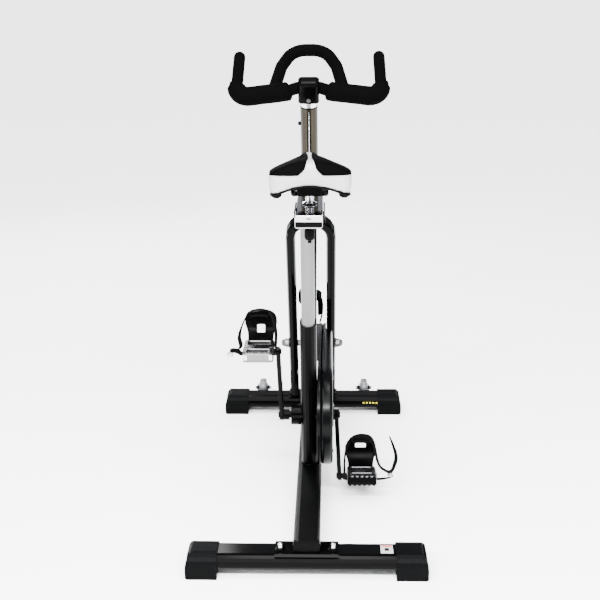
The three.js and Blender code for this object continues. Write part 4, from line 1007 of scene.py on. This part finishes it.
for k, (y, z) in enumerate(((-0.09, 0.06), (-0.09, -0.06), (0.10, 0.062), (0.24, 0.052))):
    head = [(0, 0.0022), (0.0026, 0.0019), (0.0036, 0.0008), (0.0038, 0), (0, 0)]
    at = Vector((0.0600, CRANK.y + y, CRANK.z + z))
    if (at.yz - CRANK.yz).length < 0.118 or y > 0:
        link(lathe(f"cover_screw_{k}", head, X, at, 20), STEEL, "frame", "steel")

rim = FLYWHEEL_RADIUS
disc = [(0.0093, -18), (0.02, -18), (0.0206, -6), (0.024, -4), (0.112, -4), (0.1165, -6), (0.12, -10.5),
        (0.123, -12), (rim - 0.002, -12), (rim, -10), (rim, 10), (rim - 0.002, 12), (0.123, 12), (0.12, 10.5),
        (0.1165, 6), (0.112, 4), (0.024, 4), (0.0206, 6), (0.02, 33), (0.0312, 33), (0.033, 34), (0.033, 36),
        (0.0312, 37), (0.0093, 37), (0.0093, -18)]
link(lathe("flywheel_disc", [(r, h / 1000) for r, h in disc], X, AXLE, 128), IRON, "flywheel",
     "iron", "flywheel")
for k in range(6):
    angle = k * math.pi / 3
    for face, way in (("in", -1), ("out", 1)):
        spot = AXLE + Vector((way * 0.0038, 0.068 * math.cos(angle), 0.068 * math.sin(angle)))
        dimple = [(0, 0.0016), (0.009, 0.0014), (0.0112, 0.0008), (0.012, 0), (0, 0)]
        link(lathe(f"flywheel_boss_{face}_{k}", dimple, (way, 0, 0), spot, 28), IRON, "flywheel", "iron")

for name, sign in (("left", -1), ("right", 1)):
    centre = bike(sign * 162, 1074, 46)
    tyre = [(6.3, -13), (15, -13), (16.5, -10), (24.5, -10.5), (27.4, -9), (29, -5), (29, 5), (27.4, 9), (24.5, 10.5),
            (16.5, 10), (15, 13), (6.3, 13), (6.3, -13)]
    link(lathe(f"roller_{name}", [(r / 1000, h / 1000) for r, h in tyre], X, centre, 56), WHEEL,
         f"transport_wheel_{name}", "wheel", f"transport_wheel_{name}")
    for way in (-1, 1):
        nut = [(0, 0.0055), (0.0045, 0.0052), (0.006, 0.004), (0.0065, 0), (0, 0)]
        spot = centre + Vector((way * 0.0195, 0, 0))
        label = "in" if way * sign < 0 else "out"
        link(lathe(f"roller_nut_{name}_{label}", nut, (way, 0, 0), spot, 6), STEEL, "frame", "steel",
             smooth=20)

# Axle ends: washer and domed nut over the CAD's hexagons.
for name, way in (("left", -1), ("right", 1)):
    face = AXLE + Vector((way * 0.0693, 0, 0))
    washer = [(0.0094, 0), (0.0155, 0), (0.0158, 0.0008), (0.0155, 0.0018), (0.0094, 0.0018)]
    link(lathe(f"axle_washer_{name}", washer, (way, 0, 0), face, 36), STEEL, "frame", "steel")
    dome = [(0.0092, 0.0112), (0.0112, 0.0114), (0.0108, 0.0150), (0.0095, 0.0182), (0.0072, 0.0205),
            (0.0035, 0.0220), (0, 0.0223)]
    link(lathe(f"axle_dome_{name}", dome, (way, 0, 0), face, 36), STEEL, "frame", "steel")

# ---------------------------------------------------------------- knobs, plate bolts, labels, welds
PULL = [(0, 0), (0.005, 0), (0.005, 0.0085), (0.0072, 0.0095), (0.0155, 0.012), (0.0168, 0.0145), (0.017, 0.028),
        (0.0158, 0.0325), (0.0125, 0.0352), (0.006, 0.036), (0, 0.036)]


def grooved(mesh, at, axis, lobes, depth, beyond):
    """Presses finger grooves into a turned grip."""
    axis = Vector(axis).normalized()
    first = axis.orthogonal().normalized()
    second = axis.cross(first)
    for v in mesh.vertices:
        off = v.co - at
        a, b = off.dot(first), off.dot(second)
        if math.hypot(a, b) > beyond:
            press = 1 - depth * (0.5 + 0.5 * math.cos(lobes * math.atan2(b, a))) ** 2
            v.co = at + axis * off.dot(axis) + first * a * press + second * b * press
    return mesh


low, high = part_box("seat_post_knob")
at = Vector((0, low.y, (low.z + high.z) / 2))
link(grooved(lathe("seat_pull", PULL, Y, at, 64), at, Y, 8, 0.08, 0.012), PLASTIC, "seat_post_knob",
     "plastic", "seat_post_knob")
at = fork_foot + rake_up * 0.810 + rake_ahead * 0.0213
link(grooved(lathe("bar_pull", PULL, rake_ahead, at, 64), at, rake_ahead, 8, 0.08, 0.012), PLASTIC,
     "handlebar_knob", "plastic", "handlebar_knob")
at = fork_foot + rake_up * 0.7463 + rake_ahead * 0.040
TURN = [(0, 0), (0.009, 0), (0.0095, 0.0015), (0.0165, 0.0065), (0.0178, 0.009), (0.018, 0.0255), (0.0165, 0.0298),
        (0.0135, 0.0325), (0.006, 0.033), (0, 0.033)]
link(grooved(lathe("tension_grip", TURN, rake_up, at, 72), at, rake_up, 12, 0.05, 0.014), PLASTIC,
     "tension_knob", "plastic", "tension_knob")

for name, sign in (("left", -1), ("right", 1)):
    foot = bike(sign * 60, -13, 60.6)
    bolt = [(0, 0.0168), (0.0026, 0.0163), (0.0046, 0.0148), (0.0055, 0.0125), (0.0055, 0.003), (0.0062, 0.002),
            (0.0062, 0.0005), (0, 0.0005)]
    link(lathe(f"plate_nut_{name}", bolt, Z, foot, 36), CHROME, "frame", "chrome", f"plate_bolt_{name}")
    washer = [(0.0064, 0), (0.0115, 0), (0.0118, 0.0006), (0.0112, 0.0022), (0.0088, 0.0028), (0.0084, 0.0062),
              (0.0064, 0.0066), (0.0064, 0)]
    link(lathe(f"plate_washer_{name}", washer, Z, foot, 36), PAINT, "frame", "paint")

# The black plug in the beam's rear end.
beam_low, beam_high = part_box("bottom_beam")
slab("beam_plug", (beam_low.x + 0.0012, beam_low.y - 0.0016, beam_low.z + 0.0012),
     (beam_high.x - 0.0012, beam_low.y + 0.012, beam_high.z - 0.0012), PLASTIC, "frame", "plastic", 0.0035)


def weld(name, line, radius=0.0022):
    """A bead of overlapping ripples along a closed line."""
    line = resampled(line, 0.0016)
    ripple = lambda t: radius * (1 + 0.16 * math.sin(t * len(line) * 1.9))
    link(tube(name, line, radius, 8, radii=ripple), PAINT, "frame", "paint", smooth=0)


def ring_line(centre, first, second, a, b, count=40):
    return [centre + first * a * math.cos(t) + second * b * math.sin(t)
            for t in (2 * math.pi * k / count for k in range(count + 1))]


lean_up = Vector((0, -math.sin(LEAN), math.cos(LEAN)))
rim_at = bike(0, 288, 508)
foot_at = rim_at - lean_up * ((508 - 90.2) / 1000 / math.cos(LEAN))
weld("weld_seat_tube", ring_line(foot_at, Vector(X), Vector(Y), 0.0215, 0.0295))
neck_at = fork_foot + rake_up * 0.709
weld("weld_sleeve", ring_line(neck_at, Vector(X), rake_ahead, 0.0268, 0.0218))
for name, sign in (("left", -1), ("right", 1)):
    leg = fork_foot + Vector((sign * 0.056, 0, 0.0012))
    weld(f"weld_fork_{name}", ring_line(leg, Vector(X), Vector(Y), 0.0138, 0.0290))


# Blank stickers: a white one with a red band on the rear bar's top, and a yellow strip on the front bar's side.
for name, x0, x1, y0, y1, finish, lift in (
        ("white", 168, 196, -18, 20, LABEL, 0.25), ("band", 170, 194, 12, 18, LABEL_RED, 0.4),
        ("mark", 177, 187, -7, 6, PLASTIC, 0.4)):
    slab(f"sticker_{name}", bike(x0, y0, 54.9), bike(x1, y1, 55 + lift), finish, "frame", "paint", 0.00004)
for k in range(5):
    rows = []
    for step in range(5):
        z = 35.5 + 4.5 * step / 4
        y = 1000 - 21 - math.sqrt(20.35 ** 2 - (z - 35) ** 2)
        rows += [bike(156 + 10 * k, y, z), bike(161.5 + 10 * k, y, z)]
    dash = mesh_of(f"sticker_yellow_{k}", rows, [(2 * i, 2 * i + 1, 2 * i + 3, 2 * i + 2) for i in range(4)])
    link(dash, LABEL_YELLOW, "frame", "paint", smooth=0)

# ---------------------------------------------------------------- floor
floor_mesh = mesh_of("floor", [(-400, -400, 0), (400, -400, 0), (400, 500, 0), (-400, 500, 0)], [(0, 1, 2, 3)])
floor = placed("floor", floor_mesh)
floor.location.z = -0.0005
floor_mesh.materials.append(material("pale_floor", (0.96, 0.96, 0.96), 0.9, specular=0.1, tint=0.005, scale=2,
                                     bump=0.0))
